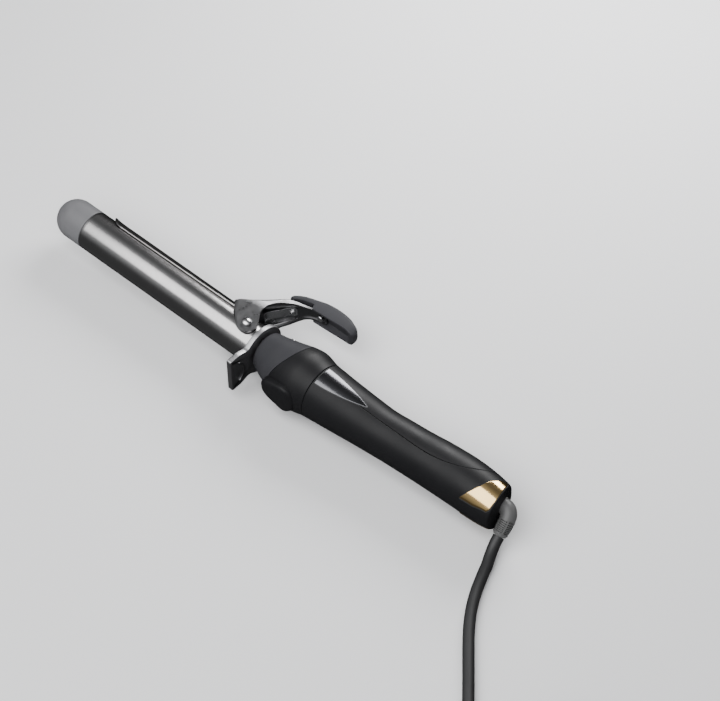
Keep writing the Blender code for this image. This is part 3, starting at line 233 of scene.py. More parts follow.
RECIPES = {  # each finish with its maker and what the maker takes
    "soft_touch_black": (soft_touch, (0.009, 0.009, 0.01), 0.46),
    "charcoal": (soft_touch, (0.034, 0.034, 0.038), 0.5, 2200),
    "titanium": (brushed_metal, (0.45, 0.44, 0.44), 0.2),
    "satin_steel": (cast_metal, (0.23, 0.23, 0.235), 0.32),
    # a lighter copy of the satin cast steel for the stand flange: painted light for the light its rim catches
    "flange_steel": (cast_metal, (0.42, 0.42, 0.43), 0.42),
    "bright_steel": (cast_metal, (0.78, 0.78, 0.79), 0.2, 0.05, 0.004),
    "aluminium": (brushed_metal, (0.72, 0.72, 0.73), 0.38, (10, 1, 1), 0.08, 0.01),
    "heat_plastic": (moulded, (0.13, 0.13, 0.136), 0.43, 2400, 0.014),
    "ceramic": (moulded, (0.82, 0.79, 0.73), 0.6, 1500, 0.02, (0.74, 0.7, 0.63)),
    "bronze": (cast_metal, (0.58, 0.4, 0.2), 0.36),
    "nylon": (moulded, (0.8, 0.79, 0.74), 0.45, 1500, 0.015, (0.74, 0.73, 0.67)),
    "board_green": (moulded, (0.03, 0.17, 0.08), 0.4, 1200, 0.02, (0.04, 0.21, 0.1)),
    "dark_plastic": (moulded, (0.022, 0.022, 0.023), 0.5, 1500, 0.03),
    "gloss_panel": (brushed_metal, (0.13, 0.13, 0.138), 0.17, (1, 6, 6), 0.03, 0.002),
    "gold": (brushed_metal, (0.86, 0.6, 0.27), 0.13, (1, 5, 5), 0.03, 0.002),
    "cord_rubber": (moulded, (0.02, 0.02, 0.021), 0.5, 1100, 0.03),
    # a lighter copy of the cord's rubber for the strain relief: a painted sheen standing in for the light it catches
    "relief_rubber": (moulded, (0.1, 0.1, 0.1), 0.42, 1100, 0.02),
}
FINISHES = {name: make(name, *values) for name, (make, *values) in RECIPES.items()}

# ---- meshes ----


def mesh_piece(name, points, faces, finish, body, *nodes, sharp=35.0):
    """A piece from points in the iron's millimetres that rides on a body and stands for CAD nodes."""
    mesh = bpy.data.meshes.new(name)
    mesh.from_pydata([place(p) for p in points], [], faces)
    return dress(linked(name, mesh), finish, body, *nodes, sharp=sharp)


def clean(mesh, merge=2e-6):
    b = bmesh.new()
    b.from_mesh(mesh)
    bmesh.ops.remove_doubles(b, verts=b.verts, dist=merge)
    bmesh.ops.dissolve_degenerate(b, edges=b.edges, dist=1e-7)
    bmesh.ops.recalc_face_normals(b, faces=b.faces)
    b.to_mesh(mesh)
    b.free()


def dress(o, finish, body, *nodes, sharp=35.0):
    clean(o.data)
    o.data.materials.clear()
    o.data.materials.append(FINISHES[finish].m)
    o.data.shade_smooth()
    o.data.set_sharp_from_angle(angle=math.radians(sharp))
    if body:
        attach(o, body)
    if nodes:
        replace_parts(o, *nodes)
    return o


def ring_faces(rings, loop=False):
    """Points and faces of a skin through rings of equal counts; a single point is a pole."""
    points, starts, faces = [], [], []
    for ring in rings:
        starts.append(len(points))
        points += ring
    pairs = list(zip(range(len(rings)), range(1, len(rings)))) + ([(len(rings) - 1, 0)] if loop else [])
    for i, j in pairs:
        n, m = len(rings[i]), len(rings[j])
        for k in range(max(n, m)):
            a, b = starts[i] + k % n, starts[i] + (k + 1) % n
            c, d = starts[j] + (k + 1) % m, starts[j] + k % m
            faces.append([a, b, c, d] if n > 1 and m > 1 else ([a, b, d] if m == 1 else [a, c, d]))
    if not loop:
        for i in (0, len(rings) - 1):
            if len(rings[i]) > 1:
                faces.append(list(range(starts[i], starts[i] + len(rings[i]))))
    return points, faces


def skin(name, rings, finish, body, *nodes, loop=False, sharp=35.0):
    return mesh_piece(name, *ring_faces(rings, loop), finish, body, *nodes, sharp=sharp)


def tool(rings):
    """A solid used only to cut another."""
    return skin("tool", rings, "dark_plastic", None)


def cut(target, cutter, sharp=35.0, solver="EXACT"):
    m = target.modifiers.new("cut", "BOOLEAN")
    m.operation, m.solver, m.object = "DIFFERENCE", solver, cutter
    bake(target)
    bpy.data.objects.remove(cutter)
    target.data.set_sharp_from_angle(angle=math.radians(sharp))
    return target


def bake(o):
    """Keeps what the modifiers make as the mesh itself."""
    bpy.context.view_layer.update()
    result = bpy.data.meshes.new_from_object(o.evaluated_get(bpy.context.evaluated_depsgraph_get()))
    o.modifiers.clear()
    o.data = result
    clean(o.data)


def turned(profile, sides):
    """Rings about the barrel's axis from (x, r) pairs; a radius of zero gives one point."""
    return [[(x, *polar(r, t)) for t in (angles(sides) if r else [0])] for x, r in profile]


def pin_rings(profile, axis, centre, sides=40, sign=1):
    """Rings about a line along "Y" or "Z" from (height, r) pairs."""
    rings = []
    for h, r in profile:
        spots = [polar(r, t) for t in (angles(sides) if r else [0])]
        if axis == "Y":
            rings.append([(centre[0] + u, sign * h, centre[1] + v) for u, v in spots])
        else:
            rings.append([(centre[0] + u, centre[1] + v, sign * h) for u, v in spots])
    return rings


def rod_rings(start, axis, length, r, sides=32):
    rings = []
    for s in (0, length):
        spots = [polar(r, t) for t in angles(sides)]
        offsets = [{"X": (s, u, v), "Y": (v, s, u), "Z": (u, v, s)}[axis] for u, v in spots]
        rings.append([tuple(a + b for a, b in zip(start, offset)) for offset in offsets])
    return rings


def bore(target, start, axis, length, r, sides=32, sharp=35.0, solver="EXACT"):
    """Cuts a round hole that starts at a point and runs along an axis."""
    return cut(target, tool(rod_rings(start, axis, length, r, sides)), sharp, solver)


def arc(cx, cy, r, start, end, count):
    turn = [math.radians(start + (end - start) * k / (count - 1)) for k in range(count)]
    return [(cx + u, cy + v) for u, v in (polar(r, t) for t in turn)]


def evenly(points, count):
    """Points at even steps along a line through many."""
    along = np.concatenate([[0], np.cumsum(np.linalg.norm(np.diff(points, axis=0), axis=1))])
    at = np.linspace(0, along[-1], count)
    return [tuple(float(np.interp(s, along, points[:, k])) for k in range(points.shape[1])) for s in at]


def smooth_through(points, count):
    """Points at even steps along a Catmull-Rom curve through the given ones."""
    p = np.array(points, float)
    p = np.vstack([2 * p[0] - p[1], p, 2 * p[-1] - p[-2]])
    dense = []
    for i in range(1, len(p) - 2):
        for t in np.linspace(0, 1, 24, endpoint=False):
            a, b, c, d = p[i - 1 : i + 3]
            dense.append(
                0.5 * (2 * b + (c - a) * t + (2 * a - 5 * b + 4 * c - d) * t**2 + (3 * b - a - 3 * c + d) * t**3)
            )
    return evenly(np.array(dense + [p[-2]]), count)


def sweep_rings(path, radius, sides=24):
    """Round rings along a curve; radius is a function of the share along it and the angle."""
    side, rings = Vector((0, 0, 1)), []
    for i, p in enumerate(path):
        a, b = Vector(path[max(i - 1, 0)]), Vector(path[min(i + 1, len(path) - 1)])
        ahead = (b - a).normalized()
        side = (side - ahead * side.dot(ahead)).normalized()
        up = ahead.cross(side)
        share = i / (len(path) - 1)
        rings.append([
            tuple(Vector(p) + (side * math.cos(t) + up * math.sin(t)) * radius(share, t)) for t in angles(sides)
        ])
    return rings


# ---- the cord ----

RELIEF_LINE = (
    (200.0, 7.4, 0.0), (203.0, 7.4, 0.0), (205.5, 6.8, -0.4), (207.3, 5.2, -1.7), (208.1, 3.1, -3.5),
    (208.3, 0.9, -5.5), (208.4, -1.4, -7.6), (208.7, -4.6, -10.2),
)
CORD_ROUTE = (
    (208.75, -5.0, -10.5), (209.3, -8.95, -13.05), (210.6, -13.35, -15.0), (212.5, -17.9, -16.1),
    (214.2, -21.5, -16.35), (217.8, -30.6, -16.4), (222.6, -41.4, -16.4), (229.0, -52.5, -16.4),
    (237.2, -63.6, -16.4), (247.0, -75.1, -16.4), (258.6, -88.4, -16.4), (270.0, -101.6, -16.3),
    (282.4, -115.8, -15.6), (294.2, -129.4, -15.1),
)
COIL_CENTRE = (350.0, -119.0)
COIL_START_ANGLE = 221.0
COIL_LAYERS = (-15.0, -8.0, -1.0)  # heights of the turns' middles
TAIL_R, TAIL_Z, PLUG_ANGLE = 36.8, 6.3, 358.0
TIE_ANGLE = 130.0


def coil_at(turns):
    """Radius and height of the winding after a number of turns."""
    inner, outer, step = 28.0, 49.0, 0.35
    low, middle, high = COIL_LAYERS
    ends = (3.0, 3.0 + step, 6.0 + step, 6.0 + 2 * step, 9.0)

    def ease(t):
        t = min(1.0, max(0.0, t))
        return t * t * (3 - 2 * t)

    if turns <= ends[0]:
        return outer + (inner - outer) * turns / 3.0, low
    if turns <= ends[1]:
        return inner, low + (middle - low) * ease((turns - ends[0]) / step)
    if turns <= ends[2]:
        return inner + (outer - inner) * (turns - ends[1]) / 3.0, middle
    if turns <= ends[3]:
        return outer, middle + (high - middle) * ease((turns - ends[2]) / step)
    last = 32.9
    r = outer + (last - outer) * min(1.0, (turns - ends[3]) / (ends[4] - ends[3]))
    lift = ease((turns - ends[4]) / 0.26)
    return r + (TAIL_R - last) * lift, high + (TAIL_Z - high) * lift


def cord_points():
    route = smooth_through(CORD_ROUTE + ((313.0, -151.0, -15.0),), 40)[:-1]
    total = (PLUG_ANGLE + 360 * 9 - COIL_START_ANGLE) / 360 - 0.02
    count = int(total * 30)
    for k in range(count + 1):
        turns = total * k / count
        r, z = coil_at(turns)
        t = math.radians(COIL_START_ANGLE + 360 * turns)
        route.append((COIL_CENTRE[0] + r * math.cos(t), COIL_CENTRE[1] + r * math.sin(t), z))
    return route


def curve_piece(name, points, r, finish, body, *nodes):
    curve = bpy.data.curves.new(name, "CURVE")
    curve.dimensions = "3D"
    curve.bevel_depth, curve.bevel_resolution, curve.use_fill_caps = r * MM, 6, True
    spline = curve.splines.new("POLY")
    spline.points.add(len(points) - 1)
    for spot, p in zip(spline.points, points):
        spot.co = (*place(p), 1)
    spline.use_smooth = True
    o = linked(name, curve)
    curve.materials.append(FINISHES[finish].m)
    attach(o, body)
    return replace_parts(o, *nodes)


def strain_relief():
    """An elbow that tapers to the cord, with staggered flexing slots and a ring before its end."""
    line = [RELIEF_LINE[0], *smooth_through(RELIEF_LINE[1:], 230)]
    slots_from, slots_to, columns, pitch = 0.44, 0.88, 5, 0.063

    def radius(share, angle):
        r = 5.0 - 0.2 * share - (0.8 * ((share - 0.72) / 0.28) ** 1.5 if share > 0.72 else 0)
        if slots_from < share < slots_to:
            place_round = angle / (2 * math.pi) * columns
            column = int(place_round)
            along = ((share - slots_from) / pitch + 0.5 * (column % 2)) % 1.0
            across = abs(place_round - column - 0.5)
            if 0.25 < along < 0.75 and across < 0.4:
                r -= 1.2
        ring = abs(share - 0.92)
        if ring < 0.022:
            r += 0.4 * math.sqrt(max(0.0, 1 - (ring / 0.022) ** 2))
        if share > 0.975:
            r -= 0.35 * ((share - 0.975) / 0.025) ** 2
        return r

    o = skin("strain_relief_look", sweep_rings(line, radius, 144), "cord_rubber", "cord_set", "strain_relief")
    # the strain relief gets the lighter copy of the cord's rubber, a painted sheen for the light it catches
    o.data.materials[0] = FINISHES["relief_rubber"].m
    return o


def on_plug(points):
    """Turns points given as (along the plug, across it, up from its middle) into the iron's millimetres."""
    t = math.radians(PLUG_ANGLE)
    start = Vector((COIL_CENTRE[0] + TAIL_R * math.cos(t), COIL_CENTRE[1] + TAIL_R * math.sin(t), PLUG_Z))
    ahead, out = Vector((-math.sin(t), math.cos(t), 0)), Vector((math.cos(t), math.sin(t), 0))
    return [tuple(start + ahead * a + out * b + Vector((0, 0, c))) for a, b, c in points]


PLUG_WIDE, PLUG_THICK, PLUG_LENGTH = 35.3, 13.7, 34.0
PLUG_Z = TAIL_Z - CORD_R + PLUG_THICK / 2
PIN_R, PIN_SPREAD, PIN_LENGTH, SLEEVE_LENGTH = 2.0, 18.6, 19.0, 10.0


def rounded_rect(half_wide, half_thick, corner, count=8):
    ring = []
    for sx, sy, start in ((1, 1, 0), (-1, 1, 90), (-1, -1, 180), (1, -1, 270)):
        ring += arc(sx * (half_wide - corner), sy * (half_thick - corner), corner, start, start + 90, count)
    return ring


def plug_body():
    """A flat two-pin plug: a flexing nose, a waist with grip ribs and a broad face."""
    shape = ((0.8, 4.4, 4.4), (4.0, 5.0, 4.9), (9.0, 6.6, 5.6), (14.0, 11.0, 6.2), (19.0, 15.6, 6.7))
    shape += ((24.0, PLUG_WIDE / 2, PLUG_THICK / 2), (29.0, PLUG_WIDE / 2, PLUG_THICK / 2))
    rings = []
    for along, wide, thick in smooth_through(shape, 120):
        wide, thick = min(wide, PLUG_WIDE / 2), min(thick, PLUG_THICK / 2)
        rib = 0.0
        if 2.0 < along < 9.5:
            rib = 0.35 * max(0.0, math.sin((along - 2.0) / 1.5 * 2 * math.pi)) ** 2
        if 12.0 < along < 23.0:
            rib = 0.3 * max(0.0, math.sin((along - 12.0) / 2.2 * 2 * math.pi)) ** 2
        corner = min(wide, thick) * 0.8
        rings.append(on_plug([(along, u, v) for u, v in rounded_rect(wide - rib, thick - rib, corner - rib)]))
    edge = 1.0
    for t in (math.radians(15 * k) for k in range(7)):
        wide, thick = (size / 2 - edge * (1 - math.cos(t)) for size in (PLUG_WIDE, PLUG_THICK))
        ring = rounded_rect(wide, thick, thick * 0.8)
        rings.append(on_plug([(PLUG_LENGTH - edge + edge * math.sin(t), u, v) for u, v in ring]))
    return skin("plug_body_look", rings, "dark_plastic", "cord_set", "plug_body", sharp=50)


def plug_pin(side, node):
    """A nickel pin that stands out of its insulating sleeve."""
    pieces = []
    middle = side * PIN_SPREAD / 2
    start = PLUG_LENGTH - 0.4
    sleeve = ((0, PIN_R), (SLEEVE_LENGTH - 0.2, PIN_R), (SLEEVE_LENGTH, PIN_R - 0.2), (SLEEVE_LENGTH, PIN_R - 0.3))
    total = PIN_LENGTH + GAP + 0.4
    turn = [math.radians(a) for a in range(0, 91, 10)]
    tip = [(total - 1.3 + 1.3 * math.sin(t), PIN_R - 1.0 + 0.9 * math.cos(t)) for t in turn]
    metal = [(SLEEVE_LENGTH - 1.0, PIN_R - 0.1), *tip, (total, 0.0)]
    for name, profile, finish in (("_sleeve", sleeve, "dark_plastic"), ("_metal", metal, "bright_steel")):
        rings = []
        for along, r in profile:
            spots = [polar(r, t) for t in (angles(48) if r else [0])]
            rings.append(on_plug([(start + along, middle + u, v) for u, v in spots]))
        pieces.append(skin(node + name, rings, finish, "cord_set", node))
    return pieces


def coil_tie():
    """A hook-and-loop strap round the winding."""
    middle_r, thick, half_wide = 38.5, 0.9, 4.0
    low, high = COIL_LAYERS[0] - CORD_R, COIL_LAYERS[2] + CORD_R
    half_r, half_z, middle_z = 14.4, (high - low) / 2 + 0.35, (high + low) / 2
    t = math.radians(TIE_ANGLE)
    ahead, out = Vector((-math.sin(t), math.cos(t), 0)), Vector((math.cos(t), math.sin(t), 0))
    path, rings = rounded_rect(half_r, half_z, 3.4, 14), []
    for i, (u, v) in enumerate(path):
        a, b = path[i - 1], path[(i + 1) % len(path)]
        d = math.hypot(b[0] - a[0], b[1] - a[1])
        nu, nv = (b[1] - a[1]) / d, -(b[0] - a[0]) / d
        ring = []
        for w, h in rounded_rect(half_wide, thick / 2, thick * 0.45, 4):
            spot = Vector((*COIL_CENTRE, middle_z + v + nv * h)) + out * (middle_r + u + nu * h) + ahead * w
            ring.append(tuple(spot))
        rings.append(ring)
    return skin("coil_tie_strap", rings, "dark_plastic", "cord_set", "coil_tie", loop=True)


def build_cord():
    tail = [strain_relief(), plug_body(), *plug_pin(-1, "plug_pin_inner"), *plug_pin(1, "plug_pin_outer"), coil_tie()]
    points = cord_points()
    o = curve_piece("mains_cord", points, CORD_R, "cord_rubber", "cord_set", "cord", "cord_coil", "cord_tail")
    tuple(place(points[0]))


build_cord()

# ---- the handle's form ----

HANDLE_STATIONS = (
    # along X, radius, centre offset in Y
    (21.6, 10.8, 1.3), (22.4, 11.9, 1.3), (24.0, 12.6, 1.2), (29.0, 14.0, 0.5), (34.0, 15.4, 0.1), (40.0, 16.8, 0.0),
    (45.0, 18.1, 0.0), (50.0, 19.3, 0.0), (55.6, 19.9, 0.0), (60.0, 19.3, 0.0), (64.0, 18.3, 0.0), (67.5, 17.8, 0.0),
    (70.0, 17.6, 0.0), (85.0, 16.5, 0.2), (104.0, 15.2, 0.7), (114.0, 14.7, 1.0), (125.0, 14.7, 1.9),
    (140.0, 14.9, 3.0), (155.0, 15.4, 4.3), (173.0, 15.7, 5.2), (186.0, 15.4, 5.1), (195.0, 14.7, 4.8),
    (200.0, 13.9, 4.6), (204.0, 12.9, 4.6), (207.0, 12.0, 4.6), (210.0, 11.0, 4.6),
)
SHELL_WALL = 2.2
ROUND = 192
ALL_ROUND = angles(ROUND)


def station(x, column):
    """The handle's radius or centre offset at x, on a smooth curve through its stations."""
    rows = HANDLE_STATIONS
    i = max(1, min(len(rows) - 1, next((k for k, s in enumerate(rows) if s[0] >= x), len(rows) - 1)))
    a, b = rows[i - 1], rows[i]
    before, after = rows[max(i - 2, 0)], rows[min(i + 1, len(rows) - 1)]
    t = (x - a[0]) / (b[0] - a[0])
    slope_a = (b[column] - before[column]) / (b[0] - before[0])
    slope_b = (after[column] - a[column]) / (after[0] - a[0])
    h = b[0] - a[0]
    return (
        (2 * t**3 - 3 * t**2 + 1) * a[column] + (t**3 - 2 * t**2 + t) * h * slope_a
        + (3 * t**2 - 2 * t**3) * b[column] + (t**3 - t**2) * h * slope_b
    )


def on_handle(x, angle, proud=0.0):
    u, v = polar(station(x, 1) + proud, angle)
    return (x, station(x, 2) + u, v)


def steps(a, b, pitch):
    count = max(2, int(abs(b - a) / pitch) + 1)
    return [a + (b - a) * k / (count - 1) for k in range(count)]


def edge_rows(radius=0.35, count=4):
    """(back from the edge, down from the surface) along a rounded edge."""
    return [(radius * (1 - math.sin(t)), radius * (1 - math.cos(t))) for t in quarter(count)]


def shell_rings(front, rear, wall, pitch=1.0, edge=0.35):
    """A tube of the handle's form whose two ends are functions of the angle, with rounded rims."""
    rows = [(0.0, -wall)] + [(back, -down) for back, down in reversed(edge_rows(edge))]
    rim = edge + 0.15
    middle = max(3, int((rear(0.0) - front(0.0)) / pitch))
    rings = [[on_handle(front(t) + back, t, proud) for t in ALL_ROUND] for back, proud in rows]
    for k in range(middle + 1):
        ends = [(t, front(t) + rim, rear(t) - front(t) - 2 * rim) for t in ALL_ROUND]
        rings.append([on_handle(start + span * k / middle, t) for t, start, span in ends])
    for back, proud in reversed(rows):
        rings.append([on_handle(rear(t) - back, t, proud) for t in ALL_ROUND])
    for k in range(middle - 1, 0, -1):
        rings.append([on_handle(front(t) + (rear(t) - front(t)) * k / middle, t, -wall) for t in ALL_ROUND])
    return rings


def seam_x(y):
    """The slanted seam between the front cone and the collar."""
    return 49.1 - 0.0135 * (y - 11.0) ** 2


@lru_cache(maxsize=None)
def seam_near(angle, shift):
    """Where the seam, moved along X by a shift, crosses the handle's surface at an angle."""
    x = 47.0
    for _ in range(12):
        x = seam_x(on_handle(x, angle)[1]) + shift
    return x


# ---- the barrel and what turns with it ----


def barrel_tube():
    inner, a, b = BARREL_R - BARREL_WALL, TUBE_START_X, TUBE_END_X
    edge = edge_rows(0.3)
    profile = [(a, inner)] + [(a + back, BARREL_R - down) for back, down in reversed(edge)]
    profile += [(x, BARREL_R) for x in steps(a + 2, b - 2, 8)]
    profile += [(b - back, BARREL_R - down) for back, down in edge] + [(b, inner)]
    rings = turned(profile, ROUND)
    o = skin("barrel_look", rings, "titanium", "barrel", "barrel_tube", loop=True)
    return bore(o, (*PIVOT, -20), "Z", 40, PIVOT_HOLE_R)


def tip_cap():
    """A domed heat-proof tip whose spigot sits in the tube."""
    middle, hollow, spigot_r = TIP_X + BARREL_R, BARREL_R - 2.4, BARREL_R - BARREL_WALL - GAP

    def dome(r, degrees):
        return [(middle - u, v) for u, v in (polar(r, math.radians(a)) for a in degrees)]

    outer = dome(BARREL_R, range(0, 91, 3))
    outer[0] = (outer[0][0], 0)
    profile = outer + [(x, BARREL_R) for x in (-131.0, -128.0, -125.0, CAP_SEAM_X - 0.8)]
    profile += [(CAP_SEAM_X - back, BARREL_R - down) for back, down in edge_rows(0.5)]
    profile += [(CAP_SEAM_X, spigot_r), (-112.3, spigot_r), (-112.0, spigot_r - 0.3), (-112.0, hollow - 0.6)]
    profile += [(CAP_SEAM_X - 1, hollow - 0.6), *dome(hollow, range(90, 0, -10)), (middle - hollow, 0)]
    return skin("tip_cap_look", turned(profile, ROUND), "heat_plastic", "barrel", "tip_cap")


FLANGE_X, NECK_HOLE_R = (17.2, 20.7), 6.9
FLANGE_SIDE = (
    (-9.85, 12.61), (-11.8, 11.5), (-13.8, 11.4), (-16.2, 12.2), (-19.0, 13.0), (-21.5, 13.2), (-25.0, 13.2),
    (-26.5, 13.1), (-27.2, 12.4), (-27.4, 11.2),
)
SCREW_RING, SCREW_ANGLES = 8.9, (90, 210, 330)


def resampled(points, count):
    """Points at even steps round a closed outline."""
    return evenly(np.array(points + [points[0]], float), count + 1)[:-1]


def inward(outline):
    """Unit directions into a counter-clockwise or clockwise closed outline."""
    area = sum(a[0] * b[1] - b[0] * a[1] for a, b in zip(outline, outline[1:] + outline[:1]))
    sign = 1 if area > 0 else -1
    out = []
    for i in range(len(outline)):
        a, b = outline[i - 2], outline[(i + 2) % len(outline)]
        d = math.hypot(b[0] - a[0], b[1] - a[1])
        out.append((-sign * (b[1] - a[1]) / d, sign * (b[0] - a[0]) / d))
    return out


def stand_flange():
    """The plate behind the barrel, with the foot that the hot iron is propped on and a raised arch on it."""
    half = arc(0, 0, 16.0, 0, 126, 40) + smooth_through(FLANGE_SIDE, 40)
    outline = resampled(half + [(-27.4, 0.0)] + [(y, -z) for y, z in reversed(half[1:])], 2 * ROUND)
    into = inward(outline)
    front, rear = FLANGE_X
    rim = edge_rows(0.6)
    rows = [(front, 3.0)] + [(front + back, down) for back, down in reversed(rim)]
    rows += [(rear - back, down) for back, down in rim] + [(rear, 3.0)]

    def hole(x, r):
        return [(x, r * y / math.hypot(y, z), r * z / math.hypot(y, z)) for y, z in outline]

    rings = [hole(front + 0.1, NECK_HOLE_R - 0.05), hole(front, NECK_HOLE_R)]
    for x, inset in rows:
        rings.append([(x, y + u * inset, z + v * inset) for (y, z), (u, v) in zip(outline, into)])
    rings += [hole(rear, NECK_HOLE_R), hole(rear - 0.1, NECK_HOLE_R - 0.05)]
    o = skin("stand_flange_look", rings, "satin_steel", "barrel", "stand_flange", loop=True)
    for a in SCREW_ANGLES:
        y, z = SCREW_RING * math.cos(math.radians(a)), SCREW_RING * math.sin(math.radians(a))
        bore(o, (15, y, z), "X", 8, 1.1, solver="MANIFOLD")
        bore(o, (19.5, y, z), "X", 3, 1.85, solver="MANIFOLD")
    # the flange takes the lighter steel copy, painted light for the light its rim catches
    o.data.materials[0] = FINISHES["flange_steel"].m
    path = [(21.0, y, z) for y, z in arc(-27.0, 0, 10.0, 58, -58, 60)]

    def arch_r(share, _):
        return 0.72 * math.sin(math.pi * min(1, max(0.12, min(share, 1 - share) * 25)) / 2)

    arch = sweep_rings(path, arch_r, 16)
    skin("stand_flange_arch", arch, "satin_steel", "barrel", "stand_flange")
    return o


def screw(name, profile, socket_r, depth, axis, centre, body, node, sides=48):
    """A socket screw from (height, r) pairs up to its head's top; centre gives its place across its axis."""
    turn, top = angles(sides), profile[-1][0]
    hexagon = [socket_r / math.cos(t % (math.pi / 3) - math.pi / 6) * 0.93 for t in turn]
    rows = [[(h, r)] * sides for h, r in profile]
    rows += [[(top - down, r + wider) for r in hexagon] for down, wider in ((0, 0.08), (0.1, 0), (depth, 0))]
    rings = []
    for row in rows:
        spots = [(h, *polar(r, t)) for (h, r), t in zip(row, turn)]
        if axis == "X":
            rings.append([(h, centre[0] + u, centre[1] + v) for h, u, v in spots])
        else:
            rings.append([(centre[0] + u, h, centre[1] + v) for h, u, v in spots])
    return skin(name, rings, "bright_steel", body, node, sharp=30)


def flange_screws():
    for number, a in enumerate(SCREW_ANGLES, 1):
        centre = (SCREW_RING * math.cos(math.radians(a)), SCREW_RING * math.sin(math.radians(a)))
        profile = [(13.2, 0.8), (19.8, 0.8), (19.8, 1.6), (19.9, 1.7), (20.3, 1.7), (20.5, 1.6), (20.6, 1.4)]
        screw(f"flange_screw_look_{number}", profile, 0.8, 0.5, "X", centre, "barrel", f"flange_screw_{number}")


def pivot_rivets():
    """Shouldered rivets with broad domed heads outside the lever's ears."""
    shank = [(9.5, 0.0), (9.5, 3.0), (9.6, 3.1), (10.3, 3.1), (10.3, 2.1), (14.8, 2.1), (14.8, 2.9)]
    dome = [(14.95, 3.1), (15.15, 3.08), (15.5, 2.95), (15.9, 2.68), (16.25, 2.3), (16.55, 1.75)]
    dome += [(16.75, 1.1), (16.87, 0.5), (16.9, 0.0)]
    for name, sign in (("left", 1), ("right", -1)):
        rings = pin_rings(shank + dome, "Z", PIVOT, 72, sign)
        skin("pivot_rivet_look_" + name, rings, "bright_steel", "barrel", "pivot_rivet_" + name)


# ---- the clamp ----

TAB_RIVETS_X, TAB_HOLE_R, TAB_TOP_Y = (-13.0, -8.0), 1.1, 15.4
PLATE_FRONT, PLATE_REAR, PLATE_GAP, PLATE_THICK = -113.0, -2.0, 0.35, 1.0


def clamp_plate():
    """The spoon: a sheet along the barrel on the lever's side, with a rounded, slightly flared tip."""
    span, across, rings = PLATE_REAR - PLATE_FRONT, 40, []
    xs = [PLATE_FRONT + 11 * (1 - math.cos(math.radians(a))) for a in range(2, 91, 4)]
    xs += steps(PLATE_FRONT + 12, PLATE_REAR - 0.4, 2.5) + [PLATE_REAR - 0.2, PLATE_REAR]
    for x in xs:
        near = min(1.0, (x - PLATE_FRONT) / 11)
        half = math.radians(62 - 5 * (x - PLATE_FRONT) / span) * math.sqrt(max(1e-4, 1 - (1 - near) ** 2))
        inner = BARREL_R + PLATE_GAP + 0.8 * max(0.0, 1 - (x - PLATE_FRONT) / 9) ** 2
        thick = PLATE_THICK * (0.6 if x > PLATE_REAR - 0.1 else 1)
        middle = inner + PLATE_THICK / 2
        turn = [half * (2 * k / across - 1) for k in range(across + 1)]
        ring = [(middle + thick / 2, t) for t in turn]
        bend = min(thick / 2 / middle, half * 0.4)
        for k in range(1, 6):
            a = math.pi * k / 6
            ring.append((middle + thick / 2 * math.cos(a), half + bend * (math.sin(a) - 1) + bend))
        ring += [(middle - thick / 2, t) for t in reversed(turn)]
        for k in range(1, 6):
            a = math.pi * k / 6
            ring.append((middle - thick / 2 * math.cos(a), -half - bend * math.sin(a)))
        rings.append([(x, r * math.cos(t), r * math.sin(t)) for r, t in ring])
    o = skin("clamp_plate_look", rings, "titanium", "clamp", "clamp_plate")
    for x in TAB_RIVETS_X:
        bore(o, (x, 8, 0), "Y", 10, TAB_HOLE_R)
    return o


LEVER_STATIONS = (
    ((-3.2, 1.6), (10.6, 8.2), 14.4, 1.2), ((-7.6, 6.2), (8.6, 11.2), 14.4, 1.2),
    ((-8.9, 10.0), (7.7, 13.4), 14.4, 1.6), ((-6.4, 13.4), (7.4, 15.8), 14.3, 2.2),
    ((-2.3, 17.4), (7.3, 18.2), 13.9, 2.6), ((2.2, 22.4), (7.5, 20.8), 13.1, 2.6),
    ((6.6, 27.8), (9.4, 25.2), 12.0, 2.4), ((10.8, 33.0), (13.0, 29.8), 10.5, 1.8),
    ((15.2, 36.6), (16.7, 34.0), 8.2, 1.5), ((19.7, 39.2), (20.7, 37.2), 5.8, 1.2),
    ((25.0, 41.3), (25.5, 39.4), 4.8, 0.9), ((33.0, 43.0), (33.1, 41.2), 4.7, 0.9),
)
LEVER_SHEET, WEB_FROM = 1.4, 3.3
CAP_SCREW_X = 30.0


def lever_rows():
    """The lever's stations at fine steps from the ears' rounded ends to the tongue, each with its place."""
    rows = []
    for a in range(4, 90, 6):
        s, half = -EAR_R * math.cos(math.radians(a)), EAR_R * math.sin(math.radians(a))
        centre = (PIVOT[0] - 0.6 * s, PIVOT[1] + 0.8 * s)
        left = (centre[0] - 0.8 * half, centre[1] - 0.6 * half)
        right = (centre[0] + 0.8 * half, centre[1] + 0.6 * half)
        rows.append((-1.0, *left, *right, 14.4, 1.2))
    coarse = [(i, *left, *right, w, c) for i, (left, right, w, c) in enumerate(LEVER_STATIONS)]
    return rows + [tuple(r) for r in smooth_through(coarse, 80)]


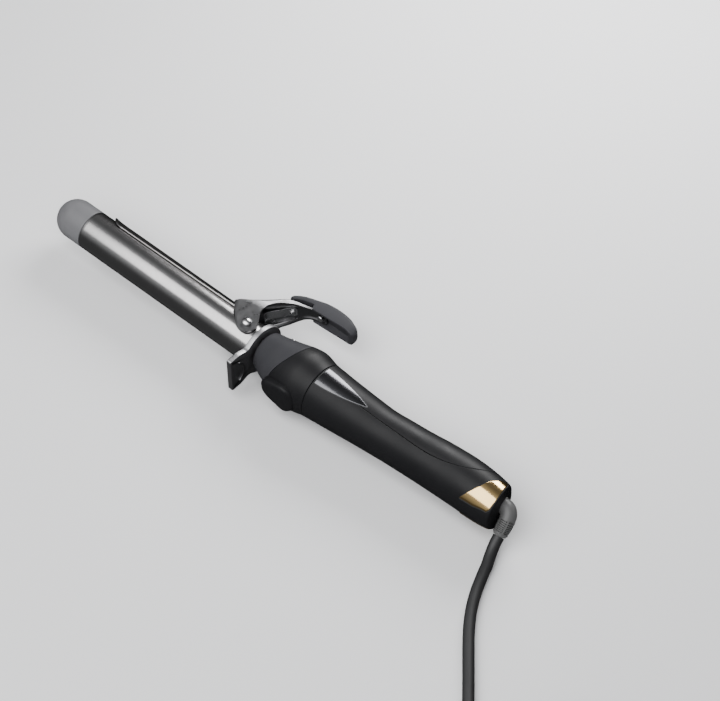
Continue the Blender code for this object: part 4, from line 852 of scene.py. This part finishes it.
def lever_bracket():
    """A pressed channel: two ears on the pivot rivets and a web from above the plate to the tongue."""
    side, bend, web = 10, 6, 14
    points, faces, rows = [], [], lever_rows()
    for at, lx, ly, rx, ry, w, corner in rows:
        l, r = Vector((lx, ly, 0)), Vector((rx, ry, 0))
        across = (r - l).normalized()
        ease = min(1.0, max(0.0, (at - WEB_FROM + 1.2) / 1.2))
        corner = 0.25 + (corner - 0.25) * ease * ease
        half = [r + (l + across * corner - r) * k / side + Vector((0, 0, w)) for k in range(side + 1)]
        for k in range(1, bend + 1):
            t = math.pi / 2 * k / bend
            half.append(l + across * corner * (1 - math.sin(t)) + Vector((0, 0, w - corner * (1 - math.cos(t)))))
        flat = [half[-1].copy() for _ in range(web - 1)]
        for k, p in enumerate(flat, 1):
            p.z = (w - corner) * (1 - 2 * k / web)
        points += half + flat + [Vector((p.x, p.y, -p.z)) for p in reversed(half)]
    count = len(points) // len(rows)
    for i in range(len(rows) - 1):
        for k in range(count - 1):
            if rows[i][0] < WEB_FROM and side + bend <= k < side + bend + web:
                continue
            a = i * count + k
            faces.append([a, a + 1, a + 1 + count, a + count])
    mesh = bpy.data.meshes.new("lever_bracket_look")
    mesh.from_pydata([place(p) for p in points], [], faces)
    o = linked("lever_bracket_look", mesh)
    if mesh.polygons[0].normal.z < 0:
        mesh.flip_normals()
    b = bmesh.new()
    b.from_mesh(mesh)
    bmesh.ops.delete(b, geom=[v for v in b.verts if not v.link_faces], context="VERTS")
    b.to_mesh(mesh)
    b.free()
    m = o.modifiers.new("sheet", "SOLIDIFY")
    m.thickness, m.offset, m.use_even_offset, m.use_rim = LEVER_SHEET * MM, -1.0, True, True
    bake(o)
    m = o.modifiers.new("edges", "BEVEL")
    m.width, m.segments, m.limit_method, m.angle_limit = 0.28 * MM, 3, "ANGLE", math.radians(50)
    bake(o)
    dress(o, "satin_steel", "clamp", "lever_bracket", sharp=40)
    bore(o, (*PIVOT, -20), "Z", 40, PIVOT_HOLE_R, sharp=40)
    bore(o, (CAP_SCREW_X, 38, 0), "Y", 8, 1.5, sharp=40)
    return o


def bent_strip(path, half_at, half_thick, corner, count):
    """Rings of a flat strip along a bent line; half_at gives half its width at each point by number."""
    rings = []
    for i, p in enumerate(path):
        a, b = path[max(i - 1, 0)], path[min(i + 1, len(path) - 1)]
        d = math.hypot(b[0] - a[0], b[1] - a[1])
        nx, ny = -(b[1] - a[1]) / d, (b[0] - a[0]) / d
        section = rounded_rect(half_at(i), half_thick, corner, count)
        rings.append([(p[0] + nx * h, p[1] + ny * h, w) for w, h in section])
    return rings


def rounded_end(half, corner, near):
    """Half a strip's width where near runs from 0 at its end to 1 where its corners stop."""
    return half - corner * (1 - math.sqrt(1 - (1 - min(1.0, near)) ** 2))


def plate_tab():
    """The tab that carries the plate, bent down from the lever's web."""
    line = ((-15.7, 14.8), (-12.5, 14.8), (-8.5, 14.8), (-4.6, 14.8), (-2.6, 15.9), (-1.4, 17.4), (-0.2, 18.5))
    path = smooth_through(line, 50)

    def half_at(i):
        return rounded_end(5.5, 2.4, (path[i][0] - path[0][0] + 0.05) / 2.4)

    rings = bent_strip(path, half_at, 0.6, 0.28, 4)
    o = skin("lever_bracket_tab", rings, "satin_steel", "clamp", "lever_bracket")
    for x in TAB_RIVETS_X:
        bore(o, (x, 13, 0), "Y", 5, TAB_HOLE_R)
    top = TAB_TOP_Y + 0.15
    profile = [(12.95, 0), (12.95, 0.8), (top, 0.8), (top, 1.6), (top + 0.12, 1.55), (top + 0.3, 1.3)]
    profile += [(top + 0.45, 0.75), (top + 0.5, 0)]
    for x, node in zip(TAB_RIVETS_X, ("plate_rivet_front", "plate_rivet_rear")):
        skin(node + "_look", pin_rings(profile, "Y", (x, 0)), "bright_steel", "clamp", node)
    return o


CAP_TOP = (
    (9.6, 36.5), (10.4, 37.8), (11.7, 39.2), (14.8, 41.7), (17.9, 43.9), (20.9, 45.6), (28.0, 48.3), (36.6, 49.4),
    (45.4, 48.9), (50.6, 47.4), (53.8, 46.3), (55.2, 44.9), (55.7, 42.6),
)
CAP_BOTTOM = (
    (9.6, 36.3), (10.8, 35.9), (12.2, 35.7), (13.4, 36.4), (17.0, 38.9), (19.6, 40.4), (23.2, 41.9), (23.8, 40.2),
    (24.8, 39.0), (25.8, 38.8), (33.2, 39.2), (39.3, 39.6), (48.3, 40.1), (54.0, 39.8), (55.2, 40.3), (55.7, 41.4),
)
CAP_WIDTH = (
    (9.6, 6.4), (10.4, 8.0), (12.6, 8.9), (16.0, 8.4), (20.0, 7.2), (25.0, 6.5), (34.0, 6.5), (48.0, 6.5),
    (51.0, 6.2), (53.0, 5.6), (54.8, 4.6), (55.7, 3.4),
)
CAP_HOLLOW, HOLLOW_X = 5.2, (24.5, 52.4)


def thumb_cap():
    """The thumb rest over the lever's tongue: a thin lip along the web, then a crowned hollow pad."""
    xs = steps(9.6, 22.6, 0.4) + steps(22.7, 24.9, 0.2) + steps(25.2, 52.0, 0.8) + steps(52.3, 55.7, 0.2)
    top, bottom, wide = (np.array(smooth_through(t, 300)) for t in (CAP_TOP, CAP_BOTTOM, CAP_WIDTH))
    rings = []
    for x in xs:
        high, low, w = (float(np.interp(x, t[:, 0], t[:, 1])) for t in (top, bottom, wide))
        high = max(high, low + 0.25)
        corner = min(2.0, (high - low) * 0.48)
        foot = min(0.6, (high - low) * 0.3)
        fade = min(1, (high - low) / 4)
        ring = []
        for k in range(33):
            z = (w - corner) * (1 - k / 16)
            crown = 0.35 * (1 - (z / max(w, 0.1)) ** 2)
            ring.append((z, high + crown * fade - 0.35 * fade))
        drop = 0.35 * fade * (corner / w)
        left = [(-w + corner * (1 - math.sin(t)), high - corner * (1 - math.cos(t)) - drop) for t in quarter(8, 1)]
        base = [(-w + foot * (1 - math.cos(t)), low + foot * (1 - math.sin(t))) for t in quarter(5)]
        side = ring + left + base
        rings.append([(x, y, z) for z, y in side + [(-z, y) for z, y in reversed(left + base)]])
    o = skin("thumb_cap_look", rings, "charcoal", "clamp", "thumb_cap")
    plan = resampled(rounded_rect((HOLLOW_X[1] - HOLLOW_X[0]) / 2, CAP_HOLLOW, 1.6), 120)
    centre = (HOLLOW_X[0] + HOLLOW_X[1]) / 2
    pocket = [[(centre + u, y, v) for u, v in plan] for y in (36.0, 42.9)]
    pocket.append([(centre + u * 0.96, 43.5, v * 0.93) for u, v in plan])
    cut(o, tool(pocket))
    corners = ((36.0, -CAP_HOLLOW), (42.4, -CAP_HOLLOW), (42.4, CAP_HOLLOW), (36.0, CAP_HOLLOW))
    cut(o, tool([[(x, y, z) for y, z in corners] for x in (22.0, 25.5)]))
    profile = [(39.0, 0), (39.0, 1.9), (39.15, 2.1), (39.4, 2.2), (40.0, 2.2), (40.0, 0.95), (42.6, 0.95), (42.6, 0)]
    rings = pin_rings(profile, "Y", (CAP_SCREW_X, 0))
    skin("thumb_cap_screw_look", rings, "bright_steel", "clamp", "thumb_cap_screw")
    return o


SPRING_LINE = (
    (16.2, 34.9), (14.05, 33.16), (12.0, 31.3), (9.8, 27.7), (7.2, 24.2), (4.9, 20.4), (5.0, 17.6), (7.6, 15.5),
    (11.0, 13.8), (13.0, 13.3), (14.6, 13.9),
)


def leaf_spring():
    """A bent strip, riveted under the lever's arm, whose free end presses on the barrel; it is built in one fixed
    shape.
    """
    path = smooth_through(SPRING_LINE, 70)

    def half_at(i):
        return rounded_end(3.4, 1.4, (min(i, len(path) - 1 - i) + 0.4) / 5)

    rings = bent_strip(path, half_at, 0.25, 0.12, 3)
    o = skin("leaf_spring_look", rings, "bright_steel", None)
    place((9.8, 28.5, 0))
    place((11.0, 14.5, 0))
    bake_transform(o)
    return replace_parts(o, "leaf_spring")


# ---- the handle's shells ----

BUTTONS = {"rotate_button": (31.2, 1.4, "rotate_key"), "power_button": (45.0, 1.5, "power_key")}
BUTTON_HALF_WIDTH = 4.4
BELLY_HALF = (
    (36.6, 0.0), (36.7, 1.2), (37.2, 3.0), (40.0, 6.0), (44.0, 7.8), (48.0, 9.0), (52.5, 10.2), (56.0, 9.9),
    (59.0, 8.0), (61.0, 4.8), (61.7, 1.8), (61.8, 0.0),
)
BELLY_BOTTOM = ((35.0, -19.3), (37.6, -20.2), (41.0, -20.7), (54.5, -20.7), (58.5, -20.0), (63.0, -18.8))
BELLY_TOP_Y, BELLY_MIDDLE_X = -13.0, 50.0


def slot_rings(middle, half, grow, heights):
    plan = rounded_rect(half + grow, BUTTON_HALF_WIDTH + grow, 1.0 + grow)
    return [[(middle + u, y, v) for u, v in plan] for y in heights]


def belly_plan(grow):
    """The gearbox cover's outline seen from the lever's side, as (x, z)."""
    half = smooth_through(BELLY_HALF, 60)
    outline = half + [(x, -z) for x, z in reversed(half[1:-1])]
    out = []
    for x, z in outline:
        d = math.hypot(x - BELLY_MIDDLE_X, z)
        out.append((x + (x - BELLY_MIDDLE_X) / d * grow, z + z / d * grow))
    return out


def belly_tool(grow):
    """The cover's seat: its plan with a gap all round, from outside to where the shells are cut."""
    return tool([[(x, y, z) for x, z in belly_plan(grow)] for y in (-30.0, BELLY_TOP_Y + 1)])


def front_cone():
    """The tapering front cover, closed in front around the front bush."""
    front_r, front_y = HANDLE_STATIONS[0][1:]

    rings = []
    for share in (0.0, 0.5, 1.0):
        r = CONE_HOLE_R + (front_r - CONE_HOLE_R) * share
        rings.append([(CONE_X, front_y * share + u, v) for u, v in (polar(r, t) for t in ALL_ROUND)])
    for x in steps(CONE_X + 0.15, 30.0, 0.4):
        rings.append([on_handle(x, t) for t in ALL_ROUND])
    edge = edge_rows(0.3)
    last = {t: seam_near(t, -GAP / 2) for t in ALL_ROUND}
    for share in np.linspace(0.05, 1, 24):
        rings.append([on_handle(30.0 + (last[t] - 0.45 - 30.0) * share, t) for t in ALL_ROUND])
    for back, down in edge:
        rings.append([on_handle(last[t] - back, t, -down) for t in ALL_ROUND])
    for share in np.linspace(0, 1, 12):
        rings.append([on_handle(last[t] + (27.0 - last[t]) * share, t, -SHELL_WALL) for t in ALL_ROUND])
    rings.append([(27.0, *polar(CONE_HOLE_R, t)) for t in ALL_ROUND])
    o = skin("front_cone_look", rings, "charcoal", "handle", "front_cone", loop=True)
    cut(o, belly_tool(GAP))
    for middle, half, _ in BUTTONS.values():
        cut(o, tool(slot_rings(middle, half, GAP, (4.0, 30.0))))
    return o


def collar_shell():
    """The widest part of the handle, with a seat on its belly for the gearbox cover."""
    rings = shell_rings(lambda t: seam_near(t, GAP / 2), lambda t: COLLAR_END_X, SHELL_WALL, 0.9)
    o = skin("collar_shell_look", rings, "soft_touch_black", "handle", "collar_shell", loop=True)
    return cut(o, belly_tool(GAP))


def belly_cover():
    """The rounded cover over the gearbox, away from the lever; it is solid, so the drive's parts reach into it."""
    bottom = np.array(smooth_through(BELLY_BOTTOM, 200))
    side_round, rise = 2.6, 2.0

    def ring(inset, share, lift):
        out = []
        for x, z in belly_plan(-inset):
            x, z = BELLY_MIDDLE_X + (x - BELLY_MIDDLE_X) * share, z * share
            out.append((x, float(np.interp(x, bottom[:, 0], bottom[:, 1])) + lift, z))
        return out

    rings = [[(x, BELLY_TOP_Y, z) for x, z in belly_plan(0.0)], ring(0.0, 1.0, rise)]
    for t in quarter(8, 1):
        rings.append(ring(side_round * (1 - math.cos(t)), 1.0, rise * (1 - math.sin(t))))
    rings += [ring(side_round, share, 0.0) for share in (0.9, 0.75, 0.6, 0.45, 0.3, 0.15, 0.03)]
    return skin("belly_cover_look", rings, "soft_touch_black", "handle", "belly_cover", sharp=60)


def buttons():
    """Small bright push buttons with crowned tops, each with the stem that reaches its switch."""
    for node, (middle, half, body) in BUTTONS.items():
        surface = on_handle(middle, 0.0)[1]
        rows = [(0.0, surface - 2.6), (0.0, surface + 0.5)]
        for t in quarter(5, 1):
            rows.append((-0.3 * (1 - math.cos(t)), surface + 0.5 + 0.3 * math.sin(t)))
        rings = [slot_rings(middle, half, grow, (y,))[0] for grow, y in rows]
        flat = rings[-1]
        for share, rise in ((0.7, 0.1), (0.4, 0.17), (0.1, 0.2)):
            rings.append([(middle + (x - middle) * share, y + rise, z * share) for x, y, z in flat])
        skin(node + "_look", rings, "bright_steel", body, node, sharp=20)
        stem = [[(middle + u, h, v) for u, v in rounded_rect(0.9, 1.2, 0.3, 3)] for h in (12.4, surface - 2.6)]
        skin(node + "_stem", stem, "bright_steel", body, node)


PARTING = (
    (60.0, -2.2), (85.0, -2.0), (100.0, -1.8), (118.0, -1.6), (142.0, -1.6), (150.0, -1.3), (157.0, -0.5),
    (163.5, 0.8), (169.5, 2.6), (175.5, 5.2), (182.0, 9.6), (187.5, 15.0), (191.5, 21.0), (194.0, 28.0),
)
PART_LINE = np.array(smooth_through(PARTING, 400))
GRIP_FRONT = COLLAR_END_X + GAP
GRIP_SCREWS = (97.0, 160.0)
FINE_FROM_X = 165


def parting_angle(x, shift=0.0):
    """The angle from the lever's side at which the two grip shells meet; zero where the upper one has ended."""
    y = float(np.interp(x - shift, PART_LINE[:, 0], PART_LINE[:, 1]))
    c = (y - station(x, 2)) / station(x, 1)
    return math.acos(max(-1.0, min(1.0, c)))


def upper_end():
    """Where the parting line reaches the handle's crest."""
    low, high = 170.0, 195.0
    for _ in range(40):
        middle = (low + high) / 2
        low, high = (middle, high) if parting_angle(middle) > 1e-4 else (low, middle)
    return low


def grip_rows(end):
    """Places along a grip shell, closer towards its end, with the surface's height at its rounded front rim."""
    xs = [GRIP_FRONT + back for back, _ in reversed(edge_rows(0.3))] + steps(GRIP_FRONT + 1, FINE_FROM_X, 1.5)
    xs += [FINE_FROM_X + (end - FINE_FROM_X) * math.sin(math.radians(a)) for a in range(2, 91, 2)]
    fronts = [max(0.0, GRIP_FRONT + 0.3 - x) for x in xs]
    return [(x, -(0.3 - math.sqrt(max(0.0, 0.09 - f * f))) if f else 0.0) for x, f in zip(xs, fronts)]


def grip_upper():
    """The lever-side grip shell, which runs out to a point on the crest at the rear."""
    end, across, rings = upper_end() - 0.25, 80, []
    for x, proud in grip_rows(end):
        half = max(0.006, parting_angle(x) - GAP / 2 / station(x, 1))
        edge = min(0.3, half * station(x, 1) * 0.3)
        wall = min(SHELL_WALL, max(0.25, half * station(x, 1) * 0.8))
        turn = [half * (2 * k / across - 1) for k in range(across + 1)]
        inner = edge / station(x, 1)
        ring = [(t * (half - inner) / half, proud) for t in turn]
        for back, down in list(reversed(edge_rows(edge)))[1:]:
            ring.append((half - back / station(x, 1), proud - down))
        ring += [(t, -wall) for t in reversed(turn)]
        for back, down in edge_rows(edge)[:-1]:
            ring.append((-half + back / station(x, 1), proud - down))
        rings.append([on_handle(x, t, h) for t, h in ring])
    o = skin("grip_upper_look", rings, "soft_touch_black", "handle", "grip_upper")
    for x in GRIP_SCREWS:
        bore(o, (x, station(x, 2) + station(x, 1) - 1, 0), "Y", 3.0, 2.6, 48)
    return o


def end_x(y):
    """The rear end surface, which falls back towards the lever's side."""
    return HANDLE_END_X - END_BOW * (y - END_MIDDLE_Y) ** 2


def end_at(angle):
    x = HANDLE_END_X
    for _ in range(20):
        x = end_x(on_handle(x, angle)[1])
    return x


def grip_lower():
    """The belly-side grip shell: open above along the parting line, closed all round behind the upper shell."""
    end, across = upper_end(), 150
    outer, inner, border = [], [], []
    for x, proud in grip_rows(end):
        half = parting_angle(x)
        start = half + (GAP / 2 / station(x, 1) if half > 0.02 else 0.0)
        edge = min(0.3, half * station(x, 1) * 0.3)
        bend = edge / station(x, 1)
        turn = [start + bend + (2 * math.pi - 2 * (start + bend)) * k / across for k in range(across + 1)]
        outer.append([on_handle(x, t, proud) for t in turn])
        under = [start + (2 * math.pi - 2 * start) * k / across for k in range(across + 1)]
        inner.append([on_handle(x, t, -SHELL_WALL) for t in under])
        rows = list(reversed(edge_rows(edge)))[1:]
        border.append((
            [on_handle(x, start + back / station(x, 1), proud - down) for back, down in rows],
            [on_handle(x, 2 * math.pi - start - back / station(x, 1), proud - down) for back, down in rows],
        ))
    opened = len(outer)
    turn = [2 * math.pi * k / across for k in range(across + 1)]
    ends, rim, first = [end_at(t) for t in turn], 0.8, end + 0.4
    for share in np.linspace(0, 1, 16):
        outer.append([on_handle(first + (e - rim - first) * share, t) for e, t in zip(ends, turn)])
    for back, down in edge_rows(rim, 6)[1:]:
        ring = [on_handle(e - back, t, -down) for e, t in zip(ends, turn)]
        outer.append([(x + (end_x(y) - e) * down / rim, y, z) for (x, y, z), e in zip(ring, ends)])
    hole = [(SWIVEL_Y + OUTLET_R * math.cos(t), OUTLET_R * math.sin(t)) for t in turn]
    rim_ring = outer[-1]
    for share in (0.15, 0.35, 0.55, 0.75, 0.9, 1.0):
        ring = []
        for (_, y, z), (hy, hz) in zip(rim_ring, hole):
            y, z = y + (hy - y) * share, z + (hz - z) * share
            ring.append((end_x(y), y, z))
        outer.append(ring)
    for x in steps(first, HOLLOW_END_X, 1.0):
        inner.append([on_handle(x, t, -SHELL_WALL) for t in turn])
    points, faces = [], []

    def strip(rows):
        """Faces over a grid of points."""
        base, width = len(points), len(rows[0])
        for row in rows:
            points.extend(row)
        for i in range(len(rows) - 1):
            for k in range(width - 1):
                a = base + i * width + k
                faces.append([a, a + 1, a + 1 + width, a + width])

    strip(outer)
    strip(inner)
    sides = [[[outer[i][at], *border[i][at], inner[i][at]] for i in range(opened)] for at in (0, -1)]
    for rows in sides:
        strip(rows)
    strip([outer[0], inner[0]])
    for rows in sides:
        faces.append([len(points) + k for k in range(len(rows[0]))])
        points.extend(rows[0])
    strip([outer[-1], [(HOLLOW_END_X, y, z) for y, z in hole], inner[-1]])
    return mesh_piece("grip_lower_look", points, faces, "soft_touch_black", "handle", "grip_lower")


def grip_screws():
    for x, node in zip(GRIP_SCREWS, ("grip_screw_front", "grip_screw_rear")):
        top = station(x, 1) + station(x, 2)
        rows = ((16.0, 0.9), (0.8, 0.9), (0.7, 2.2), (0.3, 2.15), (0.15, 2.0), (0.1, 1.8))
        screw(node + "_look", [(top - depth, r) for depth, r in rows], 1.1, 0.55, "Y", (x, 0.0), "handle", node)


# ---- the handle's ornaments ----

TRIM_CENTRE = (196.5, 1.5)
INSERT_FRONT_X, INSERT_TIP_X, INSERT_HALF, INSERT_MIDDLE_Y = 68.8, 104.0, 6.7, -0.6
TRIM_OUTLINE = (
    (182.2, -8.9), (184.6, -6.5), (187.1, -3.2), (189.5, 0.9), (191.2, 5.8), (193.6, 10.1), (195.5, 13.5),
    (198.0, 15.0), (199.0, 14.2), (199.9, 12.2), (201.2, 6.6), (201.9, 2.9), (202.2, -1.1), (201.8, -5.7),
    (200.5, -7.0), (198.2, -7.3), (191.6, -8.4), (185.8, -8.7),
)


def insert_outline():
    """A blunt slanted front and a long point to the rear, fuller towards the lever's side."""
    upper, lower = [], []
    for t in np.linspace(0, 1, 60):
        x = INSERT_FRONT_X + (INSERT_TIP_X - INSERT_FRONT_X) * t
        half = INSERT_HALF * (1 - t**1.7) ** 0.9
        middle = INSERT_MIDDLE_Y + 0.9 * t
        upper.append((x, middle + half))
        lower.append((x, middle - half * (1 - 0.06 * t)))
    return [(float(x), float(y)) for x, y in upper + lower[::-1][1:]]


def pad(name, outline, side, proud, depth, edge, finish, *nodes, grow=0.0, centre=None):
    """A pad on the handle's flank with a rolled rim, closed underneath."""
    outline = resampled(outline, 240)
    into = inward(outline)
    cx = centre or (sum(p[0] for p in outline) / len(outline), sum(p[1] for p in outline) / len(outline))

    def lift(x, y, h):
        r, offset = station(x, 1) + h, station(x, 2)
        return (x, y, side * math.sqrt(max(0.01, r * r - (y - offset) ** 2)))

    def row(inset, share, h):
        ring = []
        for (x, y), (u, v) in zip(outline, into):
            px, py = x + u * (inset - grow), y + v * (inset - grow)
            px, py = cx[0] + (px - cx[0]) * share, cx[1] + (py - cx[1]) * share
            ring.append(lift(px, py, h))
        return ring

    rings = [row(0.0, 0.0001, -depth)] + [row(0.0, s, -depth) for s in (0.3, 0.6, 0.9, 1.0)]
    rings.append(row(0.0, 1.0, proud - edge))
    for t in quarter(6, 1):
        rings.append(row(edge * (1 - math.cos(t)), 1.0, proud - edge * (1 - math.sin(t))))
    rings += [row(edge, s, proud) for s in (0.97, 0.9, 0.8, 0.7, 0.6, 0.5, 0.4, 0.3, 0.2, 0.1)]
    rings.append(row(edge, 0.0001, proud))
    return skin(name, rings, finish, "handle", *nodes, sharp=50)


def ornaments():
    insert, trim = (insert_outline(), None), (list(TRIM_OUTLINE), TRIM_CENTRE)
    for side, end in ((1, "left"), (-1, "right")):
        for kind, look, (outline, centre), proud, depth, edge, finish, grow in (
            ("flank_insert_", "look_", insert, 0.15, 0.8, 0.3, "gloss_panel", 0.0),
            ("flank_insert_", "painted_shadow_line_", insert, 0.03, 0.9, 0.1, "dark_plastic", 0.35),
            # a slightly wider dark pad just under the insert: a painted shadow line standing in for the shaded gap
            # round it
            ("rear_trim_", "look_", trim, 0.4, 0.8, 0.35, "gold", 0.0),
            ("rear_trim_", "painted_shadow_line_", trim, 0.05, 0.9, 0.1, "dark_plastic", 0.3),
        # a slightly wider dark pad just under the trim: a painted shadow line standing in for the shaded gap round it
        ):
            name = kind + look + end
            pad(name, outline, side, proud, depth, edge, finish, kind + end, grow=grow, centre=centre)


for build_piece in (
    barrel_tube, tip_cap, stand_flange, flange_screws, pivot_rivets, clamp_plate, lever_bracket, plate_tab, thumb_cap,
    leaf_spring, front_cone, collar_shell, belly_cover, buttons, grip_upper, grip_lower, grip_screws, ornaments,
):
    build_piece()


def finish_nodes():
    """The CAD nodes that stay get the fine materials of their slots."""
    slots = {part["node"]: part["material_slot"] for part in frame["record"]["subparts"]}
    for name, o in frame["nodes"].items():
        finish = slots.get(name)
        if finish in FINISHES:
            for slot in o.material_slots:
                slot.material = FINISHES[finish].m


finish_nodes()

# ---- studio ----


def make_floor():
    mesh = bpy.data.meshes.new("floor")
    low, size = place((0, 0, FLOOR_Z)).z, 6.0
    corners = ((-size, -size), (size, -size), (size, size), (-size, size))
    mesh.from_pydata([(x, y, low) for x, y in corners], [], [(0, 1, 2, 3)])
    o = linked("floor", mesh)
    m = bpy.data.materials.new("paper")
    m.use_nodes = True
    shader = m.node_tree.nodes["Principled BSDF"]
    shader.inputs["Base Color"].default_value = (0.86, 0.86, 0.87, 1)
    shader.inputs["Roughness"].default_value = 0.85
    mesh.materials.append(m)
    o.visible_glossy = False


def make_sky():
    """A soft sky: brightest overhead and towards -Y, dim on the lever's side and dark below the horizon."""
    world = bpy.data.worlds.new("studio")
    bpy.context.scene.world = world
    world.use_nodes = True
    nodes, links = world.node_tree.nodes, world.node_tree.links
    background = nodes["Background"]
    background.inputs["Color"].default_value = (0.96, 0.98, 1.0, 1)
    direction = nodes.new("ShaderNodeTexCoord")
    axes = nodes.new("ShaderNodeSeparateXYZ")
    links.new(direction.outputs["Generated"], axes.inputs[0])

    def ranged(*values):
        node = map_range(world.node_tree, *values)
        node.interpolation_type = "SMOOTHSTEP"
        return node.outputs["Result"]

    total = nodes.new("ShaderNodeMath")
    total.operation = "MULTIPLY"
    links.new(ranged(axes.outputs["Z"], -0.1, 0.75, 0.08, 0.62), total.inputs[0])
    links.new(ranged(axes.outputs["Y"], -0.3, 0.45, 1.0, 0.2), total.inputs[1])
    links.new(total.outputs[0], background.inputs["Strength"])


def area(name, centre, target, size, power):
    data = bpy.data.lights.new(name, "AREA")
    data.shape, data.size, data.size_y = "RECTANGLE", size[0] * MM, size[1] * MM
    data.energy = power
    o = linked(name, data)
    o.location = place(centre)
    ahead = (place(target) - place(centre)).normalized()
    o.rotation_euler = ahead.to_track_quat("-Z", "Y").to_euler()


def make_studio():
    make_floor()
    make_sky()
    area("key", (-60, 480, 300), (60, 0, 0), (420, 240), 4.0)
    area("band", (0, -520, 900), (20, 0, 0), (1400, 1000), 16.0)


make_studio()
